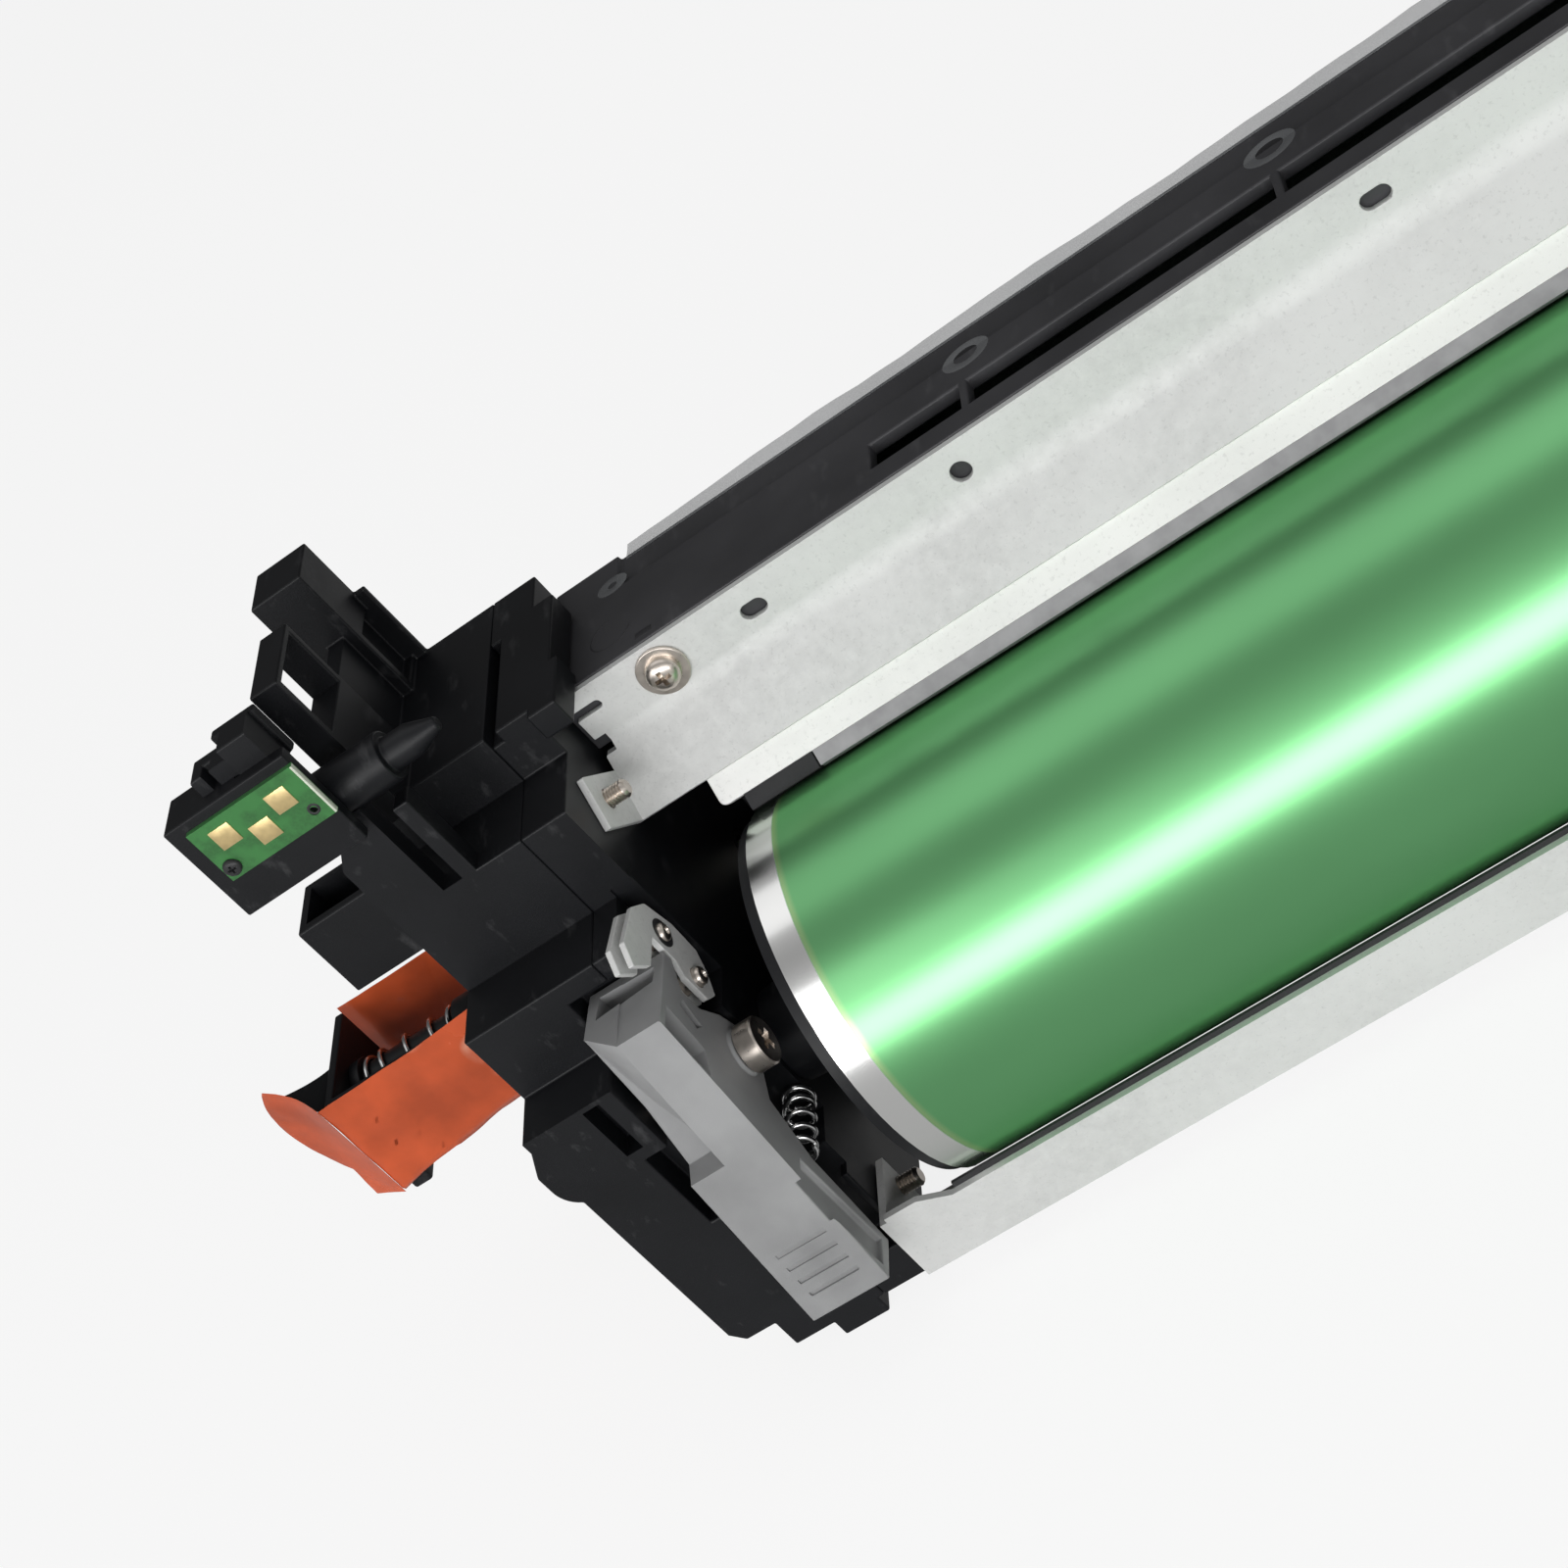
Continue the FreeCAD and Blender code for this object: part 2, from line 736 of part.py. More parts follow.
slot_y = (housing_front_y + 5, housing_front_y + 11.6)
first_rib_x = -wall_x + 33.5
slot_z = (housing_top_z - 3, housing_top_z + 1)
slots = [box((first_rib_x - 16.1, first_rib_x - s.rib_width / 2), slot_y, slot_z)]
for index in range(6):
    slot_start = first_rib_x + index * s.slot_pitch + s.rib_width / 2
    slots.append(box((slot_start, slot_start + s.slot_pitch - s.rib_width), slot_y, slot_z))
step_cut = box(
    (wall_x + 12, rear_wall_x - 6),
    (housing_front_y + 19, back_y + 1),
    (housing_top_z - 0.8, housing_top_z + 1),
)
stay_screw_x = wall_x + 16.6
stay_screw_z = stay_top_z - s.stay_hole_drop
stay_screw_xs = [stay_screw_x, rear_wall_x - 16.6]
screw_holes = [
    rod("Y", screw_fit, (housing_front_y - 1, housing_front_y + 3), (x, stay_screw_z)) for x in stay_screw_xs
]
piece(cut(housing, gear_gap, step_cut, *slots, *screw_holes), "cleaner_housing")

# Clear film along the top rear edge
piece(
    box(
        (wall_x + 13, rear_wall_x - 7),
        (back_y - 1.2, back_y + 3.2),
        (housing_top_z - 0.8, housing_top_z - 0.8 + s.film_thickness),
    ),
    "top_film",
)

# Bracket stay: folded zinc sheet over the blade, with end tabs
stay_fold = prism(
    "X",
    [
        (stay_y, stay_top_z),
        (stay_y, bend_z),
        slant(s.lower_flange_start, stay_out),
        slant(s.lower_flange_start, stay_under),
        slant(bend + s.sheet_thickness * (1 - slope_z) / slope_y, stay_under),
        (stay_y + s.sheet_thickness, stay_top_z),
    ],
    (wall_x + s.sheet_thickness, rear_wall_x - s.sheet_thickness),
)
tab_corners = [
    slant(s.lower_flange_start, stay_under),
    slant(s.lower_flange_start, 14.6),
    slant(s.lower_flange_start + 8.3, 14.6),
    slant(s.lower_flange_start + 8.3, stay_under),
]
tab_holes = [(stay_tab_y, stay_tab_z, screw_fit)]
tab_front = prism("X", tab_corners, (wall_x, wall_x + s.sheet_thickness), tab_holes)
tab_rear = prism("X", tab_corners, (rear_wall_x - s.sheet_thickness, rear_wall_x), tab_holes)
stay_level = (stay_y - 1, stay_y + 3)
stay_holes = [rod("Y", screw_fit, stay_level, (x, stay_screw_z)) for x in stay_screw_xs]
round_hole = rod("Y", 1.6, stay_level, (wall_x + 68.8, stay_screw_z))


def obround(x, z, length, width):
    """A cutter for a slot with round ends in the upper flange."""
    half = (length - width) / 2
    return [
        box((x - half, x + half), stay_level, (z - width / 2, z + width / 2)),
        rod("Y", width / 2, stay_level, (x - half, z)),
        rod("Y", width / 2, stay_level, (x + half, z)),
    ]


slot_cutters = obround(wall_x + 32.9, stay_screw_z, Size(4.2), Size(2.6)) + obround(
    wall_x + 135.6, stay_screw_z, Size(4.6), Size(2.6)
)
end_slot = box((wall_x - 1, wall_x + 5.3), stay_level, (stay_top_z - 4.4, stay_top_z - 2.9))
end_slot_round = rod("Y", 0.75, stay_level, (wall_x + 5.3, stay_top_z - 3.65))
end_notch = box((wall_x - 1, wall_x + 3.2), stay_level, (bend_z - 1.5, stay_top_z - 8.2))
piece(
    cut(
        fuse(stay_fold, tab_front, tab_rear),
        *stay_holes,
        round_hole,
        *slot_cutters,
        end_slot,
        end_slot_round,
        end_notch,
    ),
    "bracket_stay",
)

# Screws and washers of the stay
washers = []
screws = []
for x in stay_screw_xs:
    place = (x, stay_screw_z)
    washers.append(
        cut(
            rod("Y", 4.0, (stay_y - 0.7, stay_y), place),
            rod("Y", screw_fit, (stay_y - 1, stay_y + 1), place),
        )
    )
    screws.append(
        fuse(
            rod("Y", 2.7, (stay_y - 2.7, stay_y - 0.7), place),
            rod("Y", s.screw_radius, (stay_y - 1, housing_front_y + 2.4), place),
        )
    )
piece(fuse(*washers), "stay_washers")
piece(fuse(*screws), "stay_screws")
piece(
    rod("X", s.screw_radius, (wall_x - 5, wall_x + s.sheet_thickness + 3.4), (stay_tab_y, stay_tab_z)),
    "tab_screw",
)

# Blade holder and blade
holder = prism(
    "X",
    [
        slant(s.blade_reach, 0),
        slant(s.blade_reach, s.blade_thickness),
        slant(s.blade_reach + s.holder_width, s.blade_thickness),
        slant(s.blade_reach + s.holder_width, 0),
    ],
    (-7.8, s.coating_length + 8),
)
piece(holder, "blade_holder")
piece(
    prism(
        "X",
        [
            slant(0, 0),
            slant(0.2, s.blade_thickness),
            slant(s.blade_reach, s.blade_thickness),
            slant(s.blade_reach, 0),
        ],
        (8.3, s.coating_length - 8.3),
    ),
    "cleaning_blade",
)
seal_corners = [
    slant(0, 0),
    slant(0, s.blade_thickness),
    slant(s.blade_reach, s.blade_thickness),
    slant(s.blade_reach, 0),
]
piece(
    fuse(
        prism("X", seal_corners, (-4, 8)),
        prism("X", seal_corners, (s.coating_length - 8, s.coating_length + 4)),
    ),
    "blade_end_seals",
)

# Lower stay: a folded plate in front of the drum's underside
lower_y = (low_y - 2, low_y - 0.8)
lower_front = prism(
    "Y",
    [
        (wall_x + 1.5, base_z + 2),
        (wall_x + 1.5, lower_top + 2.2),
        (wall_x + 7, lower_top + 2.2),
        (wall_x + 12, lower_top),
        (rear_wall_x - 12, lower_top),
        (rear_wall_x - 7, lower_top + 2.2),
        (rear_wall_x - 1.5, lower_top + 2.2),
        (rear_wall_x - 1.5, base_z + 2),
    ],
    lower_y,
)
lower_foot = box(
    (wall_x + 1.5, rear_wall_x - 1.5), (lower_y[0], low_y + 12), (base_z + 0.8, base_z + 2)
)
lower_screw_y, lower_screw_z = low_y + 10, base_z + 8
lower_tabs = [
    prism(
        "X",
        [
            (lower_y[0], base_z + 0.8),
            (lower_y[0], lower_top + 1.5),
            (low_y + 12, lower_top + 1.5),
            (low_y + 12, base_z + 0.8),
        ],
        ends,
        holes=[(lower_screw_y, lower_screw_z, screw_fit)],
    )
    for ends in (
        (wall_x + 0.3, wall_x + 1.5),
        (rear_wall_x - 1.5, rear_wall_x - 0.3),
    )
]
piece(fuse(lower_front, lower_foot, *lower_tabs), "lower_stay")
piece(
    rod("X", s.screw_radius, (wall_x - 5, wall_x + 5), (lower_screw_y, lower_screw_z)),
    "lower_stay_screw",
)
piece(
    box(
        (wall_x + 12.5, rear_wall_x - 12.5),
        (lower_y[1], lower_y[1] + 0.6),
        (lower_top - 2.5, lower_top + 0.9),
    ),
    "lower_seal",
)

# Latch plates, which hook over the lever's upper end
latch_y = pivot_y
latch_z = pivot_z
latch_corners = [
    (latch_y + 8.4, latch_z + 24.9),
    (latch_y - 1.1, latch_z + 26.5),
    (latch_y - 4.2, latch_z + 24.2),
    (latch_y - 0.4, lever_top_z + 1.6),
    (latch_y + 6.1, lever_top_z + 1.4),
    (latch_y + 6.1, latch_z + 15),
    (latch_y + 4.5, latch_z + 12.7),
    (latch_y + 4.5, latch_z + 7.7),
    (latch_y + 7.1, latch_z + 5.9),
    (latch_y + 10.8, latch_z + 7.9),
    (latch_y + 13.2, latch_z + 10.3),
    (latch_y + 13.6, latch_z + 15.9),
    (latch_y + 12, latch_z + 22.2),
]
latch_pin_at = (latch_y + 7.1, latch_z + 10.1)
latch_screw_at = (latch_y + 9.4, latch_z + 18)
latch_holes = [
    (latch_pin_at[0], latch_pin_at[1], screw_fit),
    (latch_screw_at[0], latch_screw_at[1], screw_fit),
]
latch_depths = ((latch_floor_x, latch_floor_x + 1), (latch_floor_x + 2.4, latch_floor_x + 3.4))
piece(prism("X", latch_corners, latch_depths[0], holes=latch_holes), "latch_plate_inner")
piece(prism("X", latch_corners, latch_depths[1], holes=latch_holes), "latch_plate_outer")
piece(rod("X", s.screw_radius, (latch_floor_x, wall_x + 0.5), latch_screw_at), "latch_screw")
piece(rod("X", s.screw_radius, (latch_floor_x, wall_x + 0.9), latch_pin_at), "latch_pin")

# Release lever
lever_back = [
    (pivot_y - 9.8, pivot_z - s.lever_length),
    (pivot_y - 8.2, pivot_z - 15.8),
    (pivot_y - 4.4, pivot_z - 6.3),
    (pivot_y + 3.1, pivot_z - 4.3),
    (pivot_y + 4.9, pivot_z + 1.2),
    (pivot_y + 3.6, pivot_z + 5.2),
    (pivot_y + 0.6, pivot_z + 9.7),
    (pivot_y + 0.5, pivot_z + 13.7),
    (pivot_y + 5.4, pivot_z + 16),
    (pivot_y + 5.4, pivot_z + 17.8),
]
lever_foot = (pivot_y - 18.2, pivot_z - s.lever_length + 0.5)
lever_mid_x = lever_x[0] + 6.1
lever_right = prism("X", [(pivot_y - 10.9, lever_top_z), lever_foot] + lever_back, (lever_mid_x, lever_x[1]))
lever_left = prism(
    "X",
    [
        (pivot_y - 4.9, lever_top_z),
        (pivot_y - 6.7, pivot_z + 5.1),
        (pivot_y - 10, pivot_z - 4.7),
        (pivot_y - 15.5, pivot_z - 5.1),
        lever_foot,
    ]
    + lever_back,
    (lever_x[0], lever_mid_x),
)
lever_bevel = prism(
    "Z",
    [
        (lever_x[0], pivot_y - 4.9),
        (lever_mid_x, pivot_y - 10.9),
        (lever_mid_x, pivot_y - 4.9),
    ],
    (pivot_z - 4.7, lever_top_z),
)
lever_block = fuse(lever_right, lever_left, lever_bevel)
lever_boss = rod("X", 3.6, (lever_x[0], lever_x[1] + 0.6), (pivot_y, pivot_z))
lever_bore = rod("X", pivot_fit, (lever_x[0] - 1, lever_x[1] + 3), (pivot_y, pivot_z))
lever_pocket = prism(
    "Z",
    [
        (lever_x[0] + 2.1, pivot_y + 3.6),
        (lever_x[0] + 1.9, pivot_y - 1.8),
        (lever_x[1] - 1.8, pivot_y - 0.4),
        (lever_x[1] - 1.5, pivot_y + 3),
    ],
    (pivot_z + 7.5, pivot_z + 20),
)
big_window = prism(
    "X",
    [
        (pivot_y - 6.2, pivot_z + 17.3),
        (pivot_y - 11, pivot_z + 17.6),
        (pivot_y - 12.1, pivot_z + 7.4),
        (pivot_y - 7.5, pivot_z + 8.7),
    ],
    (lever_x[1] - 3.2, lever_x[1] + 1),
)
small_window = prism(
    "X",
    [
        (pivot_y - 1.5, pivot_z + 13.7),
        (pivot_y - 3.2, pivot_z + 14.3),
        (pivot_y - 4.6, pivot_z + 10.4),
        (pivot_y - 3.1, pivot_z + 9.2),
    ],
    (lever_x[1] - 3.2, lever_x[1] + 1),
)
lever_groove = box(
    (lever_x[1] - 1, lever_x[1] + 1), (pivot_y - 16.4, pivot_y - 11.2), (pivot_z - 32, pivot_z - 13)
)
grip_cuts = [
    box(
        (lever_x[0] + 2.5, lever_x[1] - 2.5),
        (pivot_y - 19, pivot_y - 16.4 - 0.3 * step),
        (pivot_z - 22 - 2.6 * step, pivot_z - 21.2 - 2.6 * step),
    )
    for step in range(4)
]
piece(
    cut(
        fuse(lever_block, lever_boss),
        lever_bore,
        lever_pocket,
        big_window,
        small_window,
        lever_groove,
        *grip_cuts,
    ),
    "release_lever",
)
piece(
    fuse(
        rod("X", 3.4, (lever_x[1] + 0.9, lever_x[1] + 4.2), (pivot_y, pivot_z)),
        rod("X", s.pivot_radius, (lever_x[0] - 5, lever_x[1] + 1.5), (pivot_y, pivot_z)),
    ),
    "lever_pivot_screw",
)
spring_from = pivot_y - 7.4 + s.spring_wire
spring_to = -bearing_skin - 0.2 - s.spring_wire
coil("lever_spring", "Y", spring_from, spring_to - spring_from, (wall_x - 1.5, pivot_z - 15), Size(2.3), 5)

# Chip holder, chip board, its pads and its screw
chip_x = (front_x + 9 - s.chip_width, front_x + 9)
holder_plate = box(
    (chip_x[0] - 3, chip_x[1] - 0.3), (face_y - 3.6, face_y - 1.2), (top_z + 6.3, top_z + 24)
)
holder_block = box((chip_x[0] - 3, front_x - 0.3), (face_y - 1.2, face_y + 4.5), (top_z + 6.3, top_z + 24))
holder_back = box((front_x - 1.3, front_x + 6.5), (face_y + 4.2, face_y + 6), (top_z + 20, top_z + 28.6))
lug_high = box((front_x + 0.8, front_x + 5.8), (face_y - 1.2, face_y + 4.2), (top_z + 20, top_z + 28.9))
lug_low = box((front_x - 6, front_x + 0.8), (face_y - 0.6, face_y + 4.2), (top_z + 20, top_z + 26.9))
lug_groove = box((front_x - 4, front_x - 2.6), (face_y - 2, face_y + 2), (top_z + 24, top_z + 28))
chip_level = face_y - 4.6
chip_low_z = top_z + 12.8
stud = (chip_x[0] + 1.6, chip_low_z + 1.9)
stud_hole = rod("Y", 0.85, (chip_level - 1, face_y + 1), stud)
piece(
    cut(fuse(holder_plate, holder_block, holder_back, lug_high, lug_low), lug_groove, stud_hole),
    "chip_holder",
)
board = box(chip_x, (chip_level, face_y - 3.6), (chip_low_z, chip_low_z + s.chip_height))
board_hole = rod("Y", 0.7, (chip_level - 1, face_y - 3), (chip_x[1] - 2.5, chip_low_z + 2))
stud_hole_too = rod("Y", 0.85, (chip_level - 1, face_y + 1), stud)
piece(cut(board, board_hole, stud_hole_too), "chip_board")
pad_places = [(4.4, 6.4), (9.6, 3.6), (14.6, 6.4)]
piece(
    fuse(
        *[
            box(
                (chip_x[0] + u - 1.5, chip_x[0] + u + 1.5),
                (chip_level - 0.15, chip_level),
                (chip_low_z + v - 1.4, chip_low_z + v + 1.4),
            )
            for u, v in pad_places
        ]
    ),
    "chip_contacts",
)
piece(
    fuse(
        rod("Y", 1.4, (chip_level - 0.8, chip_level), stud),
        rod("Y", 0.8, (chip_level - 0.4, face_y - 1), stud),
    ),
    "chip_screw",
)

# Waste outlet: tray, pipe, sliding shutter, its spring and the tape over it
tray_x = (front_x - s.tray_reach, front_x)
tray_y = (auger_y - 10.9, back_y)
tray_z = (auger_z + s.tray_rim - s.tray_depth, auger_z + s.tray_rim)
piece(
    cut(
        box(tray_x, tray_y, tray_z),
        box(
            (tray_x[0] + s.tray_wall, tray_x[1] + 1),
            (tray_y[0] + s.tray_wall, tray_y[1] - s.tray_wall),
            (tray_z[0] + s.tray_wall, tray_z[1] + 1),
        ),
    ),
    "outlet_tray",
)
pipe_x = (tray_x[0] + s.tray_wall, wall_x)
collar = rod("X", s.pipe_radius + 1.4, (pipe_x[0], pipe_x[0] + 2), (auger_y, auger_z))
spring_x = pipe_x[0] + 2.1
shutter_x = spring_x + s.shutter_spring_length + 0.1
outlet_window = box(
    (shutter_x + 3, shutter_x + 3 + s.shutter_travel),
    (auger_y - 2, auger_y + 2),
    (auger_z - s.pipe_radius - 1, auger_z),
)
piece(
    cut(
        fuse(rod("X", s.pipe_radius, pipe_x, (auger_y, auger_z)), collar),
        rod("X", s.pipe_bore, (pipe_x[0] + 1, pipe_x[1] + 1), (auger_y, auger_z)),
        outlet_window,
    ),
    "outlet_pipe",
)
shutter_ends = (shutter_x, shutter_x + s.shutter_length)
piece(
    cut(
        rod("X", s.pipe_radius + 1.3, shutter_ends, (auger_y, auger_z)),
        rod("X", pipe_fit + 0.02, (shutter_x - 1, shutter_ends[1] + 1), (auger_y, auger_z)),
    ),
    "outlet_shutter",
)
coil(
    "shutter_spring",
    "X",
    spring_x + s.spring_wire,
    s.shutter_spring_length - 2 * s.spring_wire,
    (auger_y, auger_z),
    s.pipe_radius + 0.8,
    5,
)
film_y = tray_y[0] - s.seat_gap
film_z = tray_z[0] - s.seat_gap
piece(
    prism(
        "X",
        [
            (film_y - s.film_thickness, tray_z[1]),
            (film_y, tray_z[1]),
            (film_y, film_z),
            (film_y + 18, film_z),
            (film_y + 18, film_z - s.film_thickness),
            (film_y - s.film_thickness, film_z - s.film_thickness),
        ],
        (tray_x[0] - 2.5, front_x - s.seat_gap),
    ),
    "outlet_film",
)

# Waste auger: shaft, helical flight and gear
shaft_x = (pipe_x[0] + 2, rear_seam_x - 1)
flight_x = (wall_x + 2, gear_x[0] - 4)
flight_length = flight_x[1] - flight_x[0]
flight_root = s.auger_shaft_radius.value - 0.3
flight_section = [(flight_root, -0.5), (s.flight_radius.value, 0), (flight_root, 0.5)]
flight_place = (flight_x[0], auger_y, auger_z)
flight = wound(
    "Flight", "X", flight_section, 6, s.flight_pitch.value, flight_length.value, flight_place
)
piece(fuse(rod("X", s.auger_shaft_radius, shaft_x, (auger_y, auger_z)), flight), "waste_auger")

auger_root = gear_module * (s.auger_teeth / 2 - 1.25)
auger_gear = turned(
    [
        (gear_x[0], s.auger_shaft_radius + 0.02),
        (gear_x[0], auger_root),
        (gear_x[1], auger_root),
        (gear_x[1], s.auger_shaft_radius + 0.02),
    ]
)
half_tooth = 180.0 / s.auger_teeth.value
toothed(auger_gear, s.auger_teeth, s.gear_width, gear_x[0], s.auger_angle.value + 180 + half_tooth)
put(auger_gear, 0, auger_y, auger_z)
piece(auger_gear, "auger_gear")

# Charge roller, its cleaning roller and their bearings
roller_x = (2.5, s.coating_length - 2.5)
piece(
    cut(
        rod("X", s.charge_radius, roller_x, (charge_y, charge_z)),
        rod("X", s.charge_shaft_radius + 0.02, roller_x, (charge_y, charge_z)),
    ),
    "charge_roller",
)
charge_shaft_x = (wall_x + 1, rear_wall_x - 1)
piece(rod("X", s.charge_shaft_radius, charge_shaft_x, (charge_y, charge_z)), "charge_roller_shaft")
piece(
    fuse(
        rod("X", s.cleaner_radius, roller_x, (cleaner_y, cleaner_z)),
        rod("X", 1.5, charge_shaft_x, (cleaner_y, cleaner_z)),
    ),
    "charge_cleaner",
)
block_low_z = base_z + floor_thickness + s.seat_gap
for name, ends in (
    ("charge_bearing_front", (wall_x, wall_x + 5)),
    ("charge_bearing_rear", (rear_wall_x - 5, rear_wall_x)),
):
    block = prism(
        "X",
        [
            (charge_y - 5, charge_z - 6),
            (charge_y - 5, charge_z + 5),
            (cleaner_y + 5, charge_z + 5),
            (cleaner_y + 5, block_low_z),
            (charge_y - 2, block_low_z),
        ],
        ends,
        holes=[
            (charge_y, charge_z, s.charge_shaft_radius + s.running_gap),
            (cleaner_y, cleaner_z, 1.5 + s.running_gap),
        ],
    )
    piece(block, name)

# Rebuild, test and write each piece
doc.recompute()
for thing in doc.Objects:
    if "Invalid" in thing.State or "Error" in thing.State:
        raise RuntimeError("%s failed: %s" % (thing.Label, thing.State))
for thing in pieces:
    if thing.Shape.isNull() or not thing.Shape.isValid():
        raise RuntimeError("bad shape: " + thing.Label)
os.makedirs("parts", exist_ok=True)
for thing in pieces:
    thing.Shape.exportStep("parts/%s.step" % thing.Label)
    print("%-22s %8.1f mm3 %d" % (thing.Label, thing.Shape.Volume, len(thing.Shape.Solids)))
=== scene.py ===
"""Looks of a printer drum unit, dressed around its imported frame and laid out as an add-on."""
import json
import math

import bmesh
import bpy
from mathutils import Matrix, Vector, geometry, noise
from mathutils.bvhtree import BVHTree


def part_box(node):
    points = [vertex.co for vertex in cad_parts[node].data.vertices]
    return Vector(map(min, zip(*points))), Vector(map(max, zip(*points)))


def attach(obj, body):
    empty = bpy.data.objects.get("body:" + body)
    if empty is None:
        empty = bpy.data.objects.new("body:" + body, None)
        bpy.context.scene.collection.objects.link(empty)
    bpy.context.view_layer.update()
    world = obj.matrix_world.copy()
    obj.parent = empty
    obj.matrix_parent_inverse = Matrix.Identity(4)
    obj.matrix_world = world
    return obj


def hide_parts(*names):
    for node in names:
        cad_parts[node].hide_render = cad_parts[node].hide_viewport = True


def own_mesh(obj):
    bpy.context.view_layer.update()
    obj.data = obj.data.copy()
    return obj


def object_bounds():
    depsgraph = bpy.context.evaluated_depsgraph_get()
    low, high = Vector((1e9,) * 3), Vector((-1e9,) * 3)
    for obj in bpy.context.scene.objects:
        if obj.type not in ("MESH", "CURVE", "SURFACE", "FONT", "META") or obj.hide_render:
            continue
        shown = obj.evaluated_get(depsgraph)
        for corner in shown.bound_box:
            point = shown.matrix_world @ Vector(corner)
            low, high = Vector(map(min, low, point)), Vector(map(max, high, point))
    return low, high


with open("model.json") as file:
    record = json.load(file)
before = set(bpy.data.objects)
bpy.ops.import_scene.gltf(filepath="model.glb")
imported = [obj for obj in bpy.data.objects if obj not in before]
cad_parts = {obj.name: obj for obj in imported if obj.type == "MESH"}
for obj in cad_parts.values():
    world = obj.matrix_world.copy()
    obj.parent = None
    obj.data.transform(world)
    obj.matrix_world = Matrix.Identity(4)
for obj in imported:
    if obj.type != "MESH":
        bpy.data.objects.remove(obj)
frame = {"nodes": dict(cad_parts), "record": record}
CAD_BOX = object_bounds()

bl_info = {
    "name": "Printer drum unit",
    "version": (1, 0, 0),
    "blender": (4, 5, 0),
    "location": "3D View > Sidebar > Drum Unit",
    "description": "Dresses the frame of a printer drum unit with its finishes and fine pieces",
    "category": "Object",
}

MM = 0.001
FLOOR_Z = CAD_BOX[0][2]

# Finishes

HOUSING_GREY = (0.052, 0.052, 0.056)
COATED_LENGTH = 357.0 * MM
COATING_EDGE = 0.1 * MM
COATING_RIM = (0.4 * MM, 1.2 * MM)

# Edges: what is rounded and by how much, and angles in degrees

MOULDINGS = (
    "front_side_plate",
    "front_cover",
    "rear_side_plate",
    "rear_cover",
    "cleaner_housing",
    "chip_holder",
)
PLATES = ("bracket_stay", "blade_holder", "latch_plate_inner", "latch_plate_outer", "stay_washers")
MOULDING_ROUND = 0.35 * MM
LEVER_ROUND = 0.3 * MM
TRAY_ROUND = 0.3 * MM
PIPE_ROUND = 0.2 * MM
PLATE_ROUND = 0.16 * MM
STRIP_END_ROUND = 1.1 * MM
STRIP_THICKEST = 2.2 * MM
SHARP_FROM = 28.0
SMOOTH_UP_TO = 50.0
SMOOTH_TAPE = 80.0
SMOOTH_WIRE = 60.0
SMOOTH_SCREW = 32.0
FLAT_WITHIN = 0.6
WELD = 0.002 * MM
ON_FACE = 0.02 * MM
SLIVER = 1e-10
TORN_FROM = 0.75
ATTEMPTS = 12

# The lever's face seen from its pivot, as (y, z) millimetres: its foot, its top, the grip's top.
# Its side windows' floors stand behind its outer side, and go deeper than in the solid.

LEVER_FACE = ((-18.2, -33.5), (-10.9, 18.8), (-15.5, -5.1))
WINDOW_BEHIND = 3.8 * MM
WINDOW_DEEPER = 2.7 * MM

# Places in the frame's millimetres: blocks as limits, the rest as (x, y), (x, z) or (x, y, z)

COVER_POCKET = ((-40.6, -37.7), (-22.5, -17.5), (11.2, 21.2))
OUTLET_FOOT = ((-98.2, -94.6), (26.2, 30.5), (-6.0, -2.0))
TRAY_END = (-98.5, 25.8, -4.0)
TRAY_BACK = 48.9
ROOF_RING = (-9.2, 30.4)
ROOF_NOTCH = ((-4.6, -1.6), (24.0, 25.6))
ROOF_SMUDGES = ((54.7, 41.1, 3.0), (105.5, 41.3, 3.2), (-9.0, 43.1, 1.8))
PAD_PLACES = ((-46.8, 79.0), (-56.8, 79.2), (-51.8, 76.5))
PAD_HALF = 1.75
EYELET = (-44.3, 75.1)

# Springs as (node, axis, turns, joint, travel), and what turns each from Z to its axis

WIRE = 0.42 * MM
SPRINGS = (
    ("shutter_spring", "X", 5.2, "shutter_slide", 12.0 * MM),
    ("lever_spring", "Y", 5.4, "lever_pivot", 1.57 * MM),
)
SPRING_TURNS = {"X": (90.0, "Y"), "Y": (-90.0, "X")}

# Screws: heads as shares of their radius and rise, shank radii, and which way they face

ROUND_HEAD = (
    (0.0, 1.0), (0.35, 0.99), (0.62, 0.93), (0.84, 0.76), (0.96, 0.5), (1.0, 0.25), (1.0, 0.02),
    (0.97, 0.0),
)
FLAT_HEAD = ((0.0, 1.0), (0.82, 1.0), (0.94, 0.96), (1.0, 0.86), (1.0, 0.04), (0.97, 0.0))
PIVOT_HEAD = 3.3 * MM
PIVOT_HEAD_WIDER = 1.14
STAY_SHANK = 1.4 * MM
PIVOT_SHANK = 2.0 * MM
BOARD_SHANK = 0.6 * MM
TO_FRONT = (0, -1, 0)
TO_DRUM = (1, 0, 0)

# The outlet's tape in millimetres: stations along the tray as (x, front, floor, top), its back
# wall, and how steeply the tray's end wall is cut to it

TAPE_STATIONS = (
    (-52.0, 24.6, 0.6, 19.0),
    (-65.0, 24.2, 1.4, 18.9),
    (-78.0, 23.6, 0.2, 18.2),
    (-90.0, 23.9, -1.8, 17.6),
    (-98.7, 24.6, -3.9, 16.9),
)
TAPE_BACK = 51.1
TAPE_BACK_TOP = 15.6
TAPE_RISE = 0.2
TAPE_THICKNESS = 0.12 * MM


# Properties

COLOUR = {"subtype": "COLOR", "size": 3, "min": 0.0, "max": 1.0}


